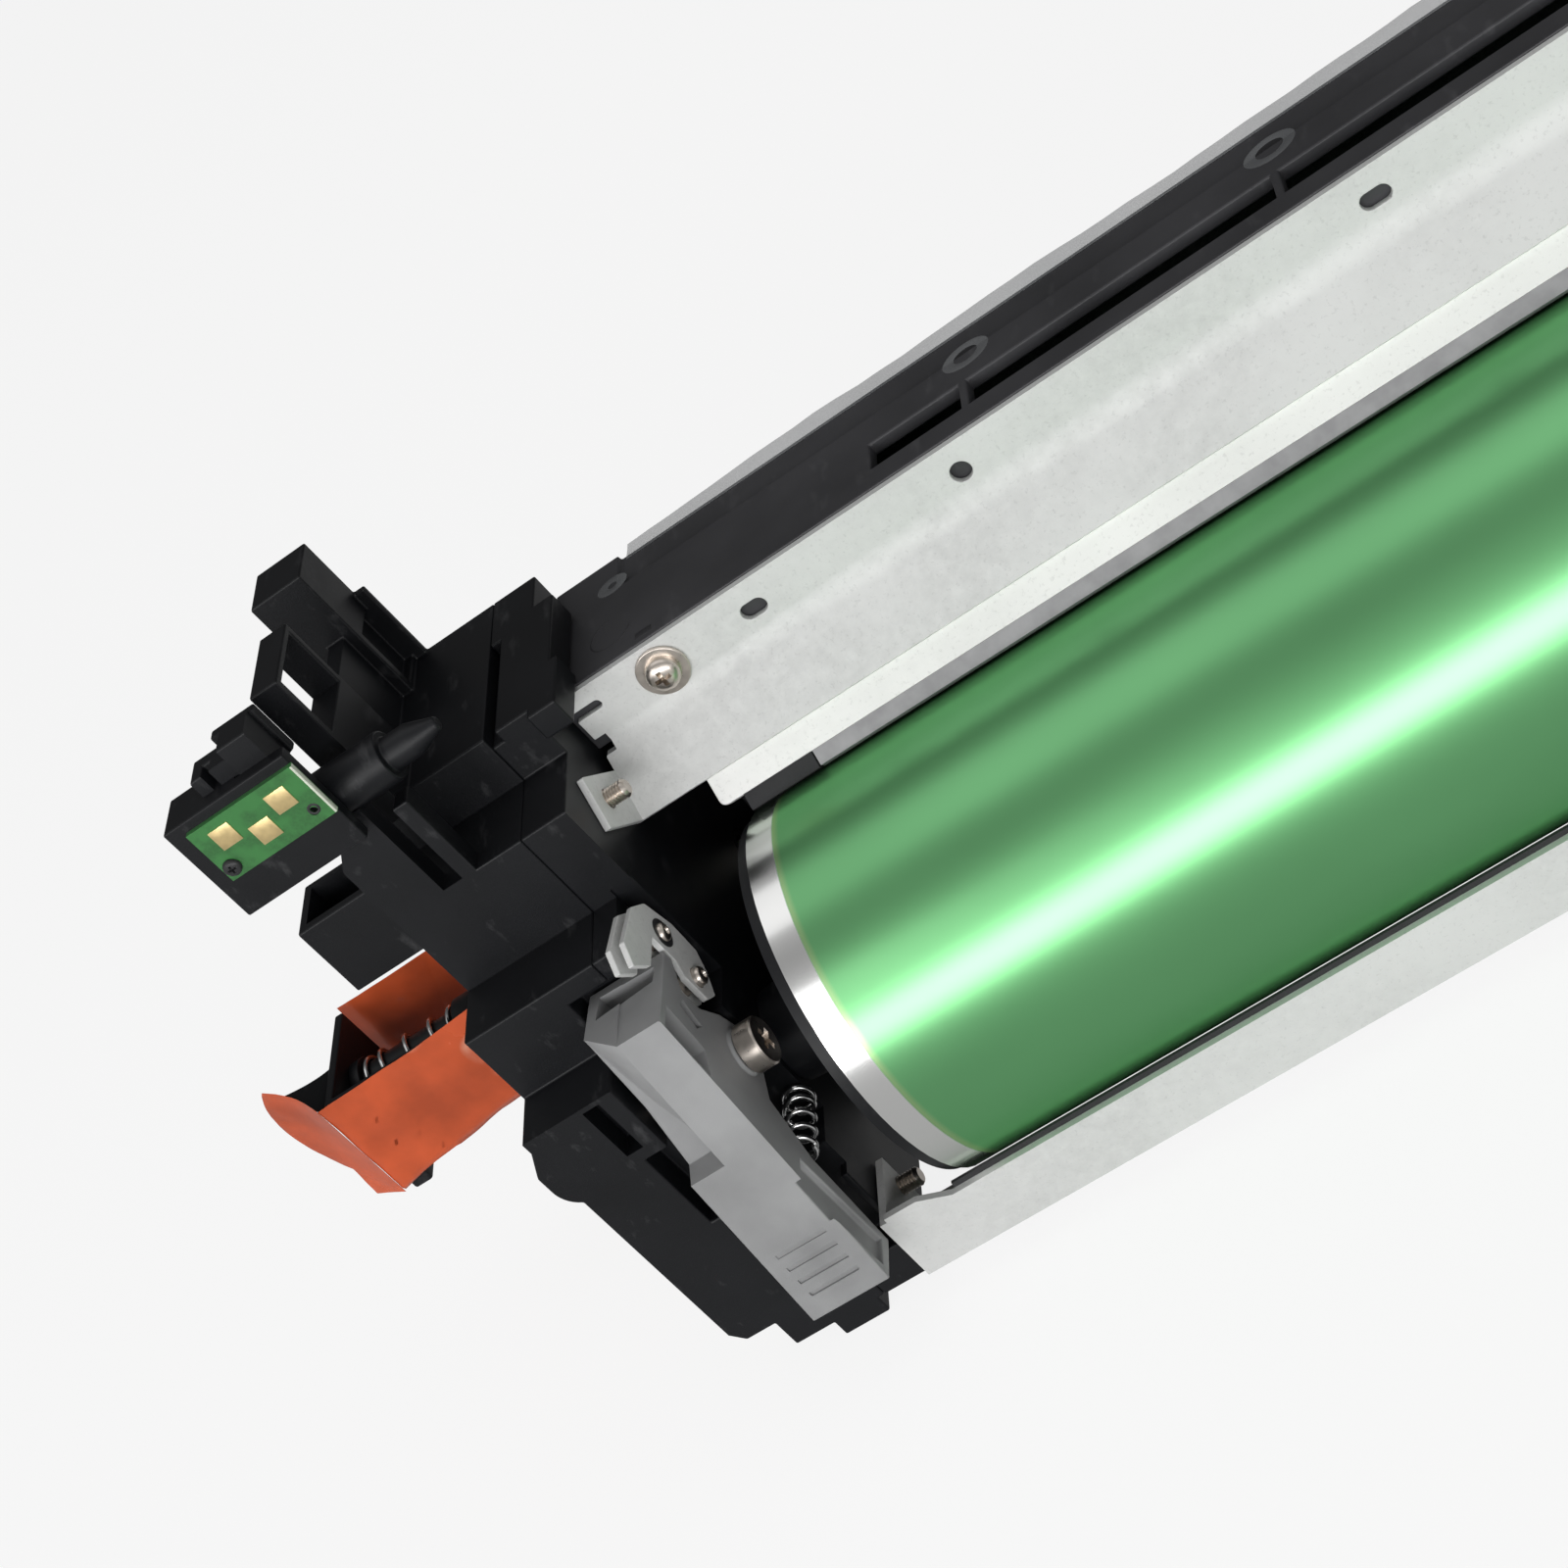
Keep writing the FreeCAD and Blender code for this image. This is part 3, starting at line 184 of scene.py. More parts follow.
class DrumUnitFinishes(bpy.types.PropertyGroup):
    """Colours of the drum unit's surfaces"""

    coating: bpy.props.FloatVectorProperty(
        name="Drum coating",
        description="Colour of the coated length of the drum",
        **COLOUR,
        default=(0.185, 0.5, 0.215),
    )
    moulding: bpy.props.FloatVectorProperty(
        name="Black moulding",
        description="Colour of the frame, covers and housing",
        **COLOUR,
        default=(0.0055, 0.006, 0.0075),
    )
    lever: bpy.props.FloatVectorProperty(
        name="Lever moulding",
        description="Colour of the release lever",
        **COLOUR,
        default=(0.3, 0.302, 0.305),
    )
    zinc: bpy.props.FloatVectorProperty(
        name="Zinc plate",
        description="Colour of the folded sheet-metal stays",
        **COLOUR,
        default=(0.68, 0.685, 0.675),
    )
    tape: bpy.props.FloatVectorProperty(
        name="Outlet tape",
        description="Colour of the clear tape over the waste outlet",
        **COLOUR,
        default=(0.62, 0.095, 0.024),
    )
    board: bpy.props.FloatVectorProperty(
        name="Contact board",
        description="Colour of the contact board's mask",
        **COLOUR,
        default=(0.03, 0.15, 0.035),
    )


class DrumUnitStage(bpy.types.PropertyGroup):
    """Camera and light around the drum unit"""

    floor_colour: bpy.props.FloatVectorProperty(
        name="Floor",
        description="Colour of the plain floor",
        **COLOUR,
        default=(0.92, 0.92, 0.92),
    )
    daylight: bpy.props.FloatProperty(
        name="Room light",
        description="Strength of the even light from all round",
        default=0.22,
        min=0.0,
        max=2.0,
    )
    lens: bpy.props.FloatProperty(
        name="Lens",
        description="Focal length of the camera in millimetres",
        default=79.99,
        min=20.0,
        max=200.0,
    )
    station: bpy.props.FloatVectorProperty(
        name="Camera place",
        description="Where the camera stands",
        subtype="TRANSLATION",
        unit="LENGTH",
        size=3,
        default=(0.1669, -0.3923, 0.2635),
    )


def finishes():
    """The colours that the user has set."""
    return bpy.context.scene.drum_unit_finishes


def stage_settings():
    """The stage values that the user has set."""
    return bpy.context.scene.drum_unit_stage


# Materials


class NodeTree:
    """The nodes of a material or of the world, with short calls for those that it uses."""

    def __init__(self, owner, shader):
        owner.use_nodes = True
        self.nodes = owner.node_tree.nodes
        self.links = owner.node_tree.links
        self.shader = self.nodes[shader]
        self.coordinates = self.nodes.new("ShaderNodeTexCoord").outputs

    def set(self, **values):
        """Sets the shader's own sockets by name, with underscores for spaces."""
        for key, value in values.items():
            self.shader.inputs[key.replace("_", " ")].default_value = value

    def link(self, source, socket):
        """Feeds one of the shader's sockets."""
        self.links.new(source, self.shader.inputs[socket])

    def new(self, kind, inputs=(), **settings):
        """A node with its settings and inputs: plain values are set, sockets are linked."""
        node = self.nodes.new(kind)
        for key, value in settings.items():
            setattr(node, key, value)
        for key, value in dict(inputs).items():
            if isinstance(value, bpy.types.NodeSocket):
                self.links.new(value, node.inputs[key])
            else:
                node.inputs[key].default_value = value
        return node

    def span(self, source, low, high, to_low=0.0, to_high=1.0):
        """Maps a range of a value onto another range, clamped."""
        limits = {"From Min": low, "From Max": high, "To Min": to_low, "To Max": to_high}
        return self.new("ShaderNodeMapRange", {"Value": source, **limits}).outputs["Result"]

    def maths(self, operation, first, second=0.0):
        """One step of arithmetic."""
        return self.new("ShaderNodeMath", {0: first, 1: second}, operation=operation).outputs[0]

    def times(self, first, second):
        """One value times another."""
        return self.maths("MULTIPLY", first, second)

    def seen(self):
        """Two switches: 1 in a reflection, and 1 in any view that the camera gets."""
        path = self.new("ShaderNodeLightPath").outputs
        direct = self.maths("MAXIMUM", path["Is Camera Ray"], path["Is Transmission Ray"])
        return path["Is Glossy Ray"], self.maths("MAXIMUM", direct, path["Is Glossy Ray"])


class Wiring(NodeTree):
    """One material's nodes, on the piece's own coordinates."""

    def __init__(self, name):
        self.material = bpy.data.materials.new(name)
        super().__init__(self.material, "Principled BSDF")
        self.place = self.coordinates["Object"]

    def stretch(self, scale, turn=(0.0, 0.0, 0.0)):
        """Object coordinates scaled along each axis."""
        inputs = {"Vector": self.place, "Scale": scale, "Rotation": turn}
        return self.new("ShaderNodeMapping", inputs).outputs["Vector"]

    def noise(self, scale, detail=3.0, vector=None, roughness=0.5):
        """Cloudy noise, with features per metre as its scale."""
        inputs = {"Scale": scale, "Detail": detail, "Roughness": roughness}
        inputs["Vector"] = vector or self.place
        return self.new("ShaderNodeTexNoise", inputs).outputs["Fac"]

    def mix(self, factor, first, second):
        """A blend of two colours."""
        node = self.new("ShaderNodeMix", data_type="RGBA")
        sockets = (node.inputs[0], node.inputs[6], node.inputs[7])
        for socket, value in zip(sockets, (factor, first, second)):
            if isinstance(value, bpy.types.NodeSocket):
                self.links.new(value, socket)
            elif isinstance(value, float):
                socket.default_value = value
            else:
                socket.default_value = (*value, 1.0)
        return node.outputs[2]

    def axis(self, letter):
        """One of the object's coordinates."""
        return self.new("ShaderNodeSeparateXYZ", {"Vector": self.place}).outputs[letter]

    def bump(self, height, strength, distance=0.0001, under=None):
        """Small relief from a grey value, in metres."""
        inputs = {"Height": height, "Strength": strength, "Distance": distance}
        if under is not None:
            inputs["Normal"] = under
        return self.new("ShaderNodeBump", inputs).outputs["Normal"]


def shade(colour, factor):
    """A colour made lighter or darker."""
    return tuple(min(1.0, value * factor) for value in colour)


def drum_finish():
    """Green coating over bright metal, with a bare turned ring at both ends."""
    w = Wiring("drum_coating")
    green = tuple(finishes().coating)
    across = w.axis("X")
    begins = w.span(across, -COATING_EDGE, COATING_EDGE)
    ends = w.span(across, COATED_LENGTH - COATING_EDGE, COATED_LENGTH + COATING_EDGE, 1.0, 0.0)
    coated = w.times(begins, ends)
    rim = w.span(across, -COATING_EDGE, 2 * COATING_EDGE)
    rim = w.times(rim, w.span(across, *COATING_RIM, 1.0, 0.0))
    clouds = w.noise(14.0, 2.0, w.stretch((1.0, 3.0, 3.0)))
    tint = w.mix(w.span(clouds, 0.35, 0.65), shade(green, 0.94), shade(green, 1.05))
    tint = w.mix(w.times(rim, 0.35), tint, (0.62, 0.66, 0.34))
    w.link(w.mix(coated, (0.86, 0.86, 0.85), tint), "Base Color")
    w.link(w.span(coated, 0.0, 1.0, 0.17, 0.29), "Roughness")
    w.link(w.span(coated, 0.0, 1.0, 1.0, 0.88), "Metallic")
    turning = w.noise(5200.0, 1.0, w.stretch((1.0, 0.02, 0.02)))
    w.link(w.bump(turning, 0.05, 0.00002), "Normal")
    w.set(Coat_Weight=0.1, Coat_Roughness=0.24, Specular_Tint=(0.25, 0.4, 0.25, 1.0))
    return w.material


def moulding_finish(name="black_moulding", colour=None, gloss=0.44):
    """Moulded plastic: fine spark-eroded grain, faint flow clouds and handling marks."""
    w = Wiring(name)
    colour = tuple(colour or finishes().moulding)
    clouds = w.noise(60.0, 4.0)
    marks = w.noise(260.0, 5.0, w.stretch((1.0, 0.35, 0.6), (0.4, 0.2, 0.9)), 0.62)
    dusty = w.span(marks, 0.6, 0.78)
    tint = w.mix(w.span(clouds, 0.3, 0.7), shade(colour, 0.82), shade(colour, 1.2))
    tint = w.mix(w.times(dusty, 0.12), tint, (0.32, 0.32, 0.33))
    w.link(tint, "Base Color")
    dull = w.span(clouds, 0.3, 0.7, gloss - 0.05, gloss + 0.06)
    w.link(w.maths("ADD", dull, w.times(dusty, 0.1)), "Roughness")
    grain = w.noise(5200.0, 2.0)
    w.link(w.bump(grain, 0.32, 0.00006, w.bump(clouds, 0.08, 0.0004)), "Normal")
    w.set(Specular_IOR_Level=0.3)
    return w.material


def zinc_finish(name="zinc_sheet", colour=None, spangle=0.1, roughness=0.55):
    """Zinc plated sheet: soft spangle, rolling lines along the sheet and small scuffs."""
    w = Wiring(name)
    colour = tuple(colour or finishes().zinc)
    cells = w.new(
        "ShaderNodeTexVoronoi",
        {"Vector": w.stretch((1.0, 1.5, 1.5)), "Scale": 330.0, "Randomness": 1.0},
    ).outputs["Color"]
    grey = w.new("ShaderNodeSeparateColor", {"Color": cells}).outputs["Red"]
    clouds = w.noise(420.0, 4.0, None, 0.65)
    patches = w.noise(34.0, 3.0)
    value = w.maths("ADD", w.times(grey, 0.14), w.times(clouds, 1.2))
    dark, light = shade(colour, 1.0 - spangle), shade(colour, 1.0 + spangle * 0.7)
    tint = w.mix(w.span(value, 0.35, 0.95), dark, light)
    tint = w.mix(w.span(patches, 0.35, 0.7), tint, shade(colour, 1.1))
    specks = w.noise(1500.0, 2.0, None, 0.7)
    tint = w.mix(w.span(specks, 0.58, 0.72, 0.0, 0.3), tint, shade(colour, 0.62))
    w.link(tint, "Base Color")
    w.link(w.span(value, 0.3, 1.0, roughness + 0.07, roughness - 0.05), "Roughness")
    rolling = w.noise(2600.0, 2.0, w.stretch((0.04, 1.0, 1.0)))
    w.link(w.bump(rolling, 0.07, 0.00004, w.bump(clouds, 0.1, 0.00005)), "Normal")
    w.set(Metallic=0.14, Specular_IOR_Level=0.3)
    return w.material


def metal_finish(name, colour, roughness):
    """Plated or drawn metal with fine marks."""
    w = Wiring(name)
    clouds = w.noise(900.0, 3.0)
    w.link(w.mix(w.span(clouds, 0.3, 0.7), shade(colour, 0.93), shade(colour, 1.05)), "Base Color")
    w.link(w.span(clouds, 0.3, 0.7, roughness - 0.03, roughness + 0.05), "Roughness")
    w.link(w.bump(clouds, 0.02, 0.00002), "Normal")
    w.set(Metallic=1.0)
    return w.material


def rubber_finish(name, colour, roughness=0.6, pores=0.0, mottle=0.1):
    """Smooth rubber, or foam where pores are given."""
    w = Wiring(name)
    clouds = w.noise(300.0, 3.0)
    dark, light = shade(colour, 1.0 - mottle), shade(colour, 1.0 + mottle)
    w.link(w.mix(w.span(clouds, 0.3, 0.7), dark, light), "Base Color")
    w.set(Roughness=roughness)
    grain = w.noise(2600.0 if pores else 900.0, 3.0)
    w.link(w.bump(grain, 0.1 + pores, 0.0001), "Normal")
    return w.material


def board_finish():
    """Green mask over faint copper tracks."""
    w = Wiring("board_green")
    green = tuple(finishes().board)
    fibres = w.noise(2400.0, 2.0, w.stretch((1.0, 0.3, 1.0)))
    clouds = w.noise(330.0, 2.0)
    tint = w.mix(w.span(fibres, 0.3, 0.7), shade(green, 0.86), shade(green, 1.14))
    w.link(w.mix(w.span(clouds, 0.42, 0.6), tint, shade(green, 1.35)), "Base Color")
    w.set(Roughness=0.32, Coat_Weight=0.4, Coat_Roughness=0.15)
    w.link(w.bump(fibres, 0.06, 0.00005), "Normal")
    return w.material


def clear_film_finish():
    """Clear stiff film with faint haze."""
    w = Wiring("clear_film")
    haze = w.noise(40.0, 3.0)
    w.link(w.span(haze, 0.3, 0.7, 0.05, 0.2), "Roughness")
    w.link(w.mix(w.span(haze, 0.35, 0.7), (0.26, 0.27, 0.28), (0.42, 0.43, 0.44)), "Base Color")
    w.set(IOR=1.45, Alpha=0.42, Specular_IOR_Level=0.5)
    return w.material


def tape_finish():
    """Orange clear tape: light passes through it, with pale lines along its creases that are a
    painted highlight.
    """
    w = Wiring("outlet_tape")
    orange = tuple(finishes().tape)
    clouds = w.noise(70.0, 4.0)
    folds = w.noise(34.0, 2.0, w.stretch((1.0, 1.7, 0.8), (0.3, 0.5, 0.9)))
    crease = w.maths("ABSOLUTE", w.maths("SUBTRACT", folds, 0.52))
    tint = w.mix(w.span(clouds, 0.35, 0.65), shade(orange, 0.78), shade(orange, 1.25))
    # Pale lines along the creases: a painted highlight on their ridges, mixed into the tape's
    # colour.
    pale = w.times(w.span(crease, 0.0, 0.012, 0.45, 0.0), w.span(clouds, 0.45, 0.62))
    w.link(w.mix(pale, tint, (0.96, 0.62, 0.45)), "Base Color")
    w.link(w.span(clouds, 0.3, 0.7, 0.14, 0.3), "Roughness")
    w.link(w.bump(clouds, 0.35, 0.0012, w.bump(w.span(crease, 0.0, 0.05), 0.3, 0.0005)), "Normal")
    w.set(Alpha=0.93, IOR=1.48, Specular_IOR_Level=0.6)
    return w.material


def make_finishes():
    """One material for each slot of the record."""
    f = finishes()
    return {
        "drum_coating": drum_finish(),
        "black_moulding": moulding_finish(),
        "housing_moulding": moulding_finish("housing_moulding", HOUSING_GREY, 0.4),
        "lever_moulding": moulding_finish("lever_moulding", f.lever, 0.5),
        "gear_moulding": moulding_finish("gear_moulding", (0.62, 0.6, 0.55), 0.42),
        "bearing_moulding": moulding_finish("bearing_moulding", (0.03, 0.03, 0.032), 0.4),
        "zinc_sheet": zinc_finish(),
        "bright_sheet": zinc_finish("bright_sheet", (0.9, 0.9, 0.88), 0.04, 0.36),
        "screw_metal": metal_finish("screw_metal", (0.66, 0.6, 0.54), 0.3),
        "spring_steel": metal_finish("spring_steel", (0.7, 0.7, 0.7), 0.2),
        "shaft_steel": metal_finish("shaft_steel", (0.62, 0.63, 0.65), 0.25),
        "contact_gold": metal_finish("contact_gold", (0.93, 0.72, 0.36), 0.36),
        "blade_rubber": rubber_finish("blade_rubber", (0.36, 0.35, 0.365), 0.4, 0.0, 0.13),
        "roller_rubber": rubber_finish("roller_rubber", (0.05, 0.05, 0.055), 0.5),
        "seal_foam": rubber_finish("seal_foam", (0.03, 0.03, 0.032), 0.85, 0.4),
        "board_green": board_finish(),
        "board_fibre": rubber_finish("board_fibre", (0.62, 0.66, 0.55), 0.5),
        "outlet_tape": tape_finish(),
        "clear_film": clear_film_finish(),
    }


FINISH = {}


def finish_for(slot):
    """The material of a slot of the record, made once."""
    if not FINISH:
        FINISH.update(make_finishes())
    return FINISH[slot]


# Pieces


def slot_of(node):
    """The record's material slot of a CAD node."""
    for part in frame["record"]["subparts"]:
        if part["node"] == node:
            return part["material_slot"]
    raise ValueError(f"no slot for {node}")


def body_of(node):
    """The CAD body that carries a node."""
    for body, nodes in frame["record"]["behaviour"]["bodies"].items():
        if node in nodes:
            return body
    raise ValueError(f"no body for {node}")


def dress(node):
    """Gives a CAD node that keeps its own shape the finish of its slot."""
    piece = frame["nodes"][node]
    piece.data.materials.clear()
    piece.data.materials.append(finish_for(slot_of(node)))


def piece_from(bm, name, slot, body, replaced=(), smooth_angle=40.0):
    """A finished piece from a bmesh: normals, smoothing, finish, body and what it stands for."""
    bmesh.ops.recalc_face_normals(bm, faces=bm.faces)
    mesh = bpy.data.meshes.new(name)
    bm.to_mesh(mesh)
    bm.free()
    mesh.shade_smooth()
    mesh.set_sharp_from_angle(angle=math.radians(smooth_angle))
    piece = bpy.data.objects.new(name, mesh)
    bpy.context.scene.collection.objects.link(piece)
    mesh.materials.append(finish_for(slot))
    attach(piece, body)
    if replaced:
        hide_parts(*replaced)
    return piece


def shift(bm, vec, verts=None):
    """Moves a shape, or some of its vertices."""
    bmesh.ops.translate(bm, verts=verts or bm.verts, vec=vec)


def turn(bm, degrees, axis, verts=None):
    """Turns a shape, or some of its vertices, about an axis through the origin."""
    matrix = Matrix.Rotation(math.radians(degrees), 3, axis)
    bmesh.ops.rotate(bm, verts=verts or bm.verts, cent=(0, 0, 0), matrix=matrix)


def bevel(bm, edges, radius, segments):
    """Rounds some of a shape's edges."""
    bmesh.ops.bevel(
        bm, geom=edges, offset=radius, offset_type="OFFSET", affect="EDGES", segments=segments,
        profile=0.5, material=-1, clamp_overlap=False, loop_slide=True,
    )


def close_ends(bm):
    """Fills a shape's open rings."""
    bmesh.ops.holes_fill(bm, edges=[e for e in bm.edges if e.is_boundary], sides=0)


def join_flats(bm):
    """Joins faces that lie in one plane."""
    bmesh.ops.dissolve_limit(
        bm, angle_limit=math.radians(FLAT_WITHIN), verts=bm.verts, edges=bm.edges,
        use_dissolve_boundaries=False,
    )


def merged(node):
    """A bmesh of a CAD node with its loose triangles joined into whole faces."""
    bm = bmesh.new()
    bm.from_mesh(frame["nodes"][node].data)
    bmesh.ops.remove_doubles(bm, verts=bm.verts, dist=WELD)
    join_flats(bm)
    return bm


def rounded(bm, node, radius, segments=2, finish=None):
    """A merged shape with small rounds on its edges, which stands for its CAD node."""
    bm = round_edges(bm, radius, segments)
    slot = finish or slot_of(node)
    piece = piece_from(bm, f"{node}_rounded", slot, body_of(node), (node,), SMOOTH_UP_TO)
    keep_flats(piece.data)


def lever():
    """The release lever, whose grip lies in one plane with the face beside it."""
    low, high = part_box("lever_pivot_screw")
    pivot = (low + high) / 2
    foot, top, grip = (
        Vector((0.0, pivot.y + y * MM, pivot.z + z * MM)) for y, z in LEVER_FACE
    )
    top, grip = top - foot, grip - foot
    bm = merged("release_lever")
    for vert in bm.verts:
        rise = vert.co.z - foot.z
        off_grip = abs(vert.co.y - foot.y - rise * grip.y / grip.z)
        if rise < grip.z + 0.1 * MM and off_grip < ON_FACE:
            vert.co.y = foot.y + rise * top.y / top.z
    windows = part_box("release_lever")[1].x - WINDOW_BEHIND
    for vert in bm.verts:
        if abs(vert.co.x - windows) < ON_FACE:
            vert.co.x -= WINDOW_DEEPER
    join_flats(bm)
    rounded(bm, "release_lever", LEVER_ROUND)


def is_sharp(edge):
    """Whether an edge turns far enough to be rounded."""
    return edge.is_manifold and edge.calc_face_angle(0.0) > math.radians(SHARP_FROM)


def strays(tested, other, reach):
    """Places on one shape that lie off the other shape, or face another way there."""
    tree = BVHTree.FromBMesh(other)
    split = tested.copy()
    bmesh.ops.triangulate(split, faces=split.faces)
    found = []
    for face in split.faces:
        if face.calc_area() < SLIVER:
            continue
        middle = face.calc_center_median()
        for place in [middle] + [middle.lerp(vert.co, 0.8) for vert in face.verts]:
            _, normal, _, distance = tree.find_nearest(place)
            askew = abs(normal.dot(face.normal)) < 0.2
            if distance > reach or (distance < 0.1 * reach and askew):
                found.append(place)
    split.free()
    return found


def round_edges(source, radius, segments):
    """Rounds a merged shape's sharp edges, apart from those where a round would tear it."""
    source.edges.index_update()
    torn_from = TORN_FROM * radius
    left_out = set()
    for attempt in range(ATTEMPTS):
        trial = source.copy()
        trial.edges.index_update()
        kept = [e for e in trial.edges if is_sharp(e) and e.index not in left_out]
        bevel(trial, kept, radius, segments)
        torn = strays(trial, source, torn_from) + strays(source, trial, torn_from)
        if not torn:
            trial.normal_update()
            source.free()
            return trial
        trial.free()
        reach = (1.5 + attempt) * radius
        for edge in source.edges:
            first, last = (v.co for v in edge.verts)
            for place in torn:
                share = geometry.intersect_point_line(place, first, last)[1]
                foot = first.lerp(last, min(1.0, max(0.0, share)))
                if (foot - place).length < reach:
                    left_out.add(edge.index)
                    break
    return source


def round_ends(bm, radius):
    """Rounds the corners of a long strip's two ends."""
    ends = (min(v.co.x for v in bm.verts), max(v.co.x for v in bm.verts))
    corners = [
        e for e in bm.edges
        if is_sharp(e) and e.calc_length() < STRIP_THICKEST
        and any(all(abs(v.co.x - end) < 0.01 * MM for v in e.verts) for end in ends)
    ]
    bevel(bm, corners, radius, 5)


def keep_flats(mesh):
    """Corner normals led by the largest faces, so that flat faces stay flat beside rounds."""
    ways = [polygon.normal.copy() for polygon in mesh.polygons]
    areas = [polygon.area for polygon in mesh.polygons]
    around = [[] for _ in mesh.vertices]
    for polygon in mesh.polygons:
        for index in polygon.vertices:
            around[index].append(polygon.index)
    limit = math.cos(math.radians(SMOOTH_UP_TO))
    corners = []
    for polygon in mesh.polygons:
        own = ways[polygon.index]
        for index in polygon.vertices:
            total = Vector((0.0, 0.0, 0.0))
            for other in around[index]:
                if ways[other].dot(own) > limit:
                    total += ways[other] * areas[other]
            corners.append(total.normalized() if total.length > 0.0 else own)
    mesh.normals_split_custom_set(corners)


def trim(bm, place, way):
    """Cuts away what lies beyond a plane, and closes the cut."""
    everything = bm.verts[:] + bm.edges[:] + bm.faces[:]
    found = bmesh.ops.bisect_plane(
        bm, geom=everything, plane_co=place, plane_no=way, clear_outer=True
    )
    edges = [e for e in found["geom_cut"] if isinstance(e, bmesh.types.BMEdge)]
    bmesh.ops.triangle_fill(bm, edges=edges, use_beauty=True, use_dissolve=False)


def block(x, y, z, radius):
    """A block between millimetre limits, with rounded edges."""
    bm = bmesh.new()
    bmesh.ops.create_cube(bm, size=1.0)
    bmesh.ops.scale(bm, verts=bm.verts, vec=[(b - a) * MM for a, b in (x, y, z)])
    shift(bm, [(a + b) / 2 * MM for a, b in (x, y, z)])
    bevel(bm, bm.edges[:], radius * MM, 2)
    return bm


def lathed(profile, steps=32):
    """A closed turned shape about Z from (radius, height) points."""
    bm = bmesh.new()
    verts = [bm.verts.new((radius, 0.0, height)) for radius, height in profile]
    edges = [bm.edges.new(pair) for pair in zip(verts, verts[1:])]
    bmesh.ops.spin(
        bm, geom=verts + edges, cent=(0, 0, 0), axis=(0, 0, 1), angle=math.tau, steps=steps,
        use_merge=True,
    )
    bmesh.ops.remove_doubles(bm, verts=bm.verts, dist=WELD)
    close_ends(bm)
    return bm


def lay(bm, way, place):
    """Turns a shape's Z axis to a direction and puts it in its place."""
    matrix = Vector(way).to_track_quat("Z", "Y").to_matrix()
    bmesh.ops.rotate(bm, verts=bm.verts, cent=(0, 0, 0), matrix=matrix)
    shift(bm, place)


def thread(radius, start, end, pitch=0.0005):
    """Zigzag profile points of a thread, from start down to end."""
    points = []
    height = start
    while height > end + pitch:
        points += [(radius, height), (radius, height - 0.12 * pitch)]
        points.append((radius - 0.6 * pitch, height - 0.55 * pitch))
        height -= pitch
    return points


def threaded_end(radius, length):
    """Profile of a bare threaded end whose tip is at height 0."""
    tip = [(0.0, 0.0), (radius * 0.72, 0.0), (radius * 0.8, -0.0001), (radius, -0.0005)]
    return tip + thread(radius, -0.0006, -length) + [(radius, -length), (0.0, -length)]


def stud(radius, length):
    """Profile of a domed stud with a small centre dimple."""
    return [
        (0.0, -0.0004), (radius * 0.3, -0.00035), (radius * 0.42, 0.0), (radius * 0.75, -0.0001),
        (radius * 0.95, -0.0004), (radius, -0.0008), (radius, -length), (0.0, -length),
    ]


def turned_box(node):
    """The corners, the middle and the radius of a turned CAD piece that lies on its side."""
    low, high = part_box(node)
    return low, high, (low + high) / 2, (high.z - low.z) / 2


def screw(
    node, places, way, radius, rise, shank, length,
    shape=ROUND_HEAD, threaded=True, slot="screw_metal",
):
    """Screws with a cross recess in their heads: places are under the heads."""
    joined = bmesh.new()
    for place in places:
        head = [(radius * out, rise * up) for out, up in shape] + [(shank, 0.0)]
        body = thread(shank, -0.0006, -length) if threaded else []
        bm = lathed(head + [(shank, -0.0005)] + body + [(shank, -length), (0.0, -length)])
        carved = cross_cut(bm, radius, rise)
        lay(carved, way, place)
        mesh = bpy.data.meshes.new("screw_part")
        carved.to_mesh(mesh)
        carved.free()
        joined.from_mesh(mesh)
        bpy.data.meshes.remove(mesh)
    return piece_from(joined, f"{node}_turned", slot, "frame", (node,), SMOOTH_SCREW)


def cross_cut(bm, radius, rise):
    """Takes a tapered cross out of a screw's head."""
    cutter = bmesh.new()
    for degrees in (0.0, 90.0):
        made = bmesh.ops.create_cone(
            cutter, cap_ends=True, segments=4, radius1=0.42 * radius, radius2=0.86 * radius,
            depth=rise,
        )["verts"]
        turn(cutter, 45.0, "Z", made)
        bmesh.ops.scale(cutter, verts=made, vec=(1.0, 0.27, 1.0))
        turn(cutter, degrees, "Z", made)
    shift(cutter, (0, 0, rise * 0.88))
    return carve(bm, cutter)


def carve(bm, cutter):
    """Takes one closed shape out of another."""
    helpers = []
    for shape, name in ((bm, "carved"), (cutter, "cutter")):
        bmesh.ops.recalc_face_normals(shape, faces=shape.faces)
        mesh = bpy.data.meshes.new(name)
        shape.to_mesh(mesh)
        shape.free()
        helper = bpy.data.objects.new(name, mesh)
        bpy.context.scene.collection.objects.link(helper)
        helpers.append(helper)
    base, tool = helpers
    carving = base.modifiers.new("recess", "BOOLEAN")
    carving.operation = "DIFFERENCE"
    carving.solver = "EXACT"
    carving.use_self = True
    carving.object = tool
    graph = bpy.context.evaluated_depsgraph_get()
    result = bpy.data.meshes.new_from_object(base.evaluated_get(graph))
    out = bmesh.new()
    out.from_mesh(result)
    bpy.data.meshes.remove(result)
    for helper in helpers:
        mesh = helper.data
        bpy.data.objects.remove(helper)
        bpy.data.meshes.remove(mesh)
    return out


def upright_ring(bm, radius, segments):
    """A circle that stands across the way in which a spin about Z takes it."""
    ring = bmesh.ops.create_circle(bm, cap_ends=False, radius=radius, segments=segments)["verts"]
    turn(bm, 90.0, "X", ring)
    return ring


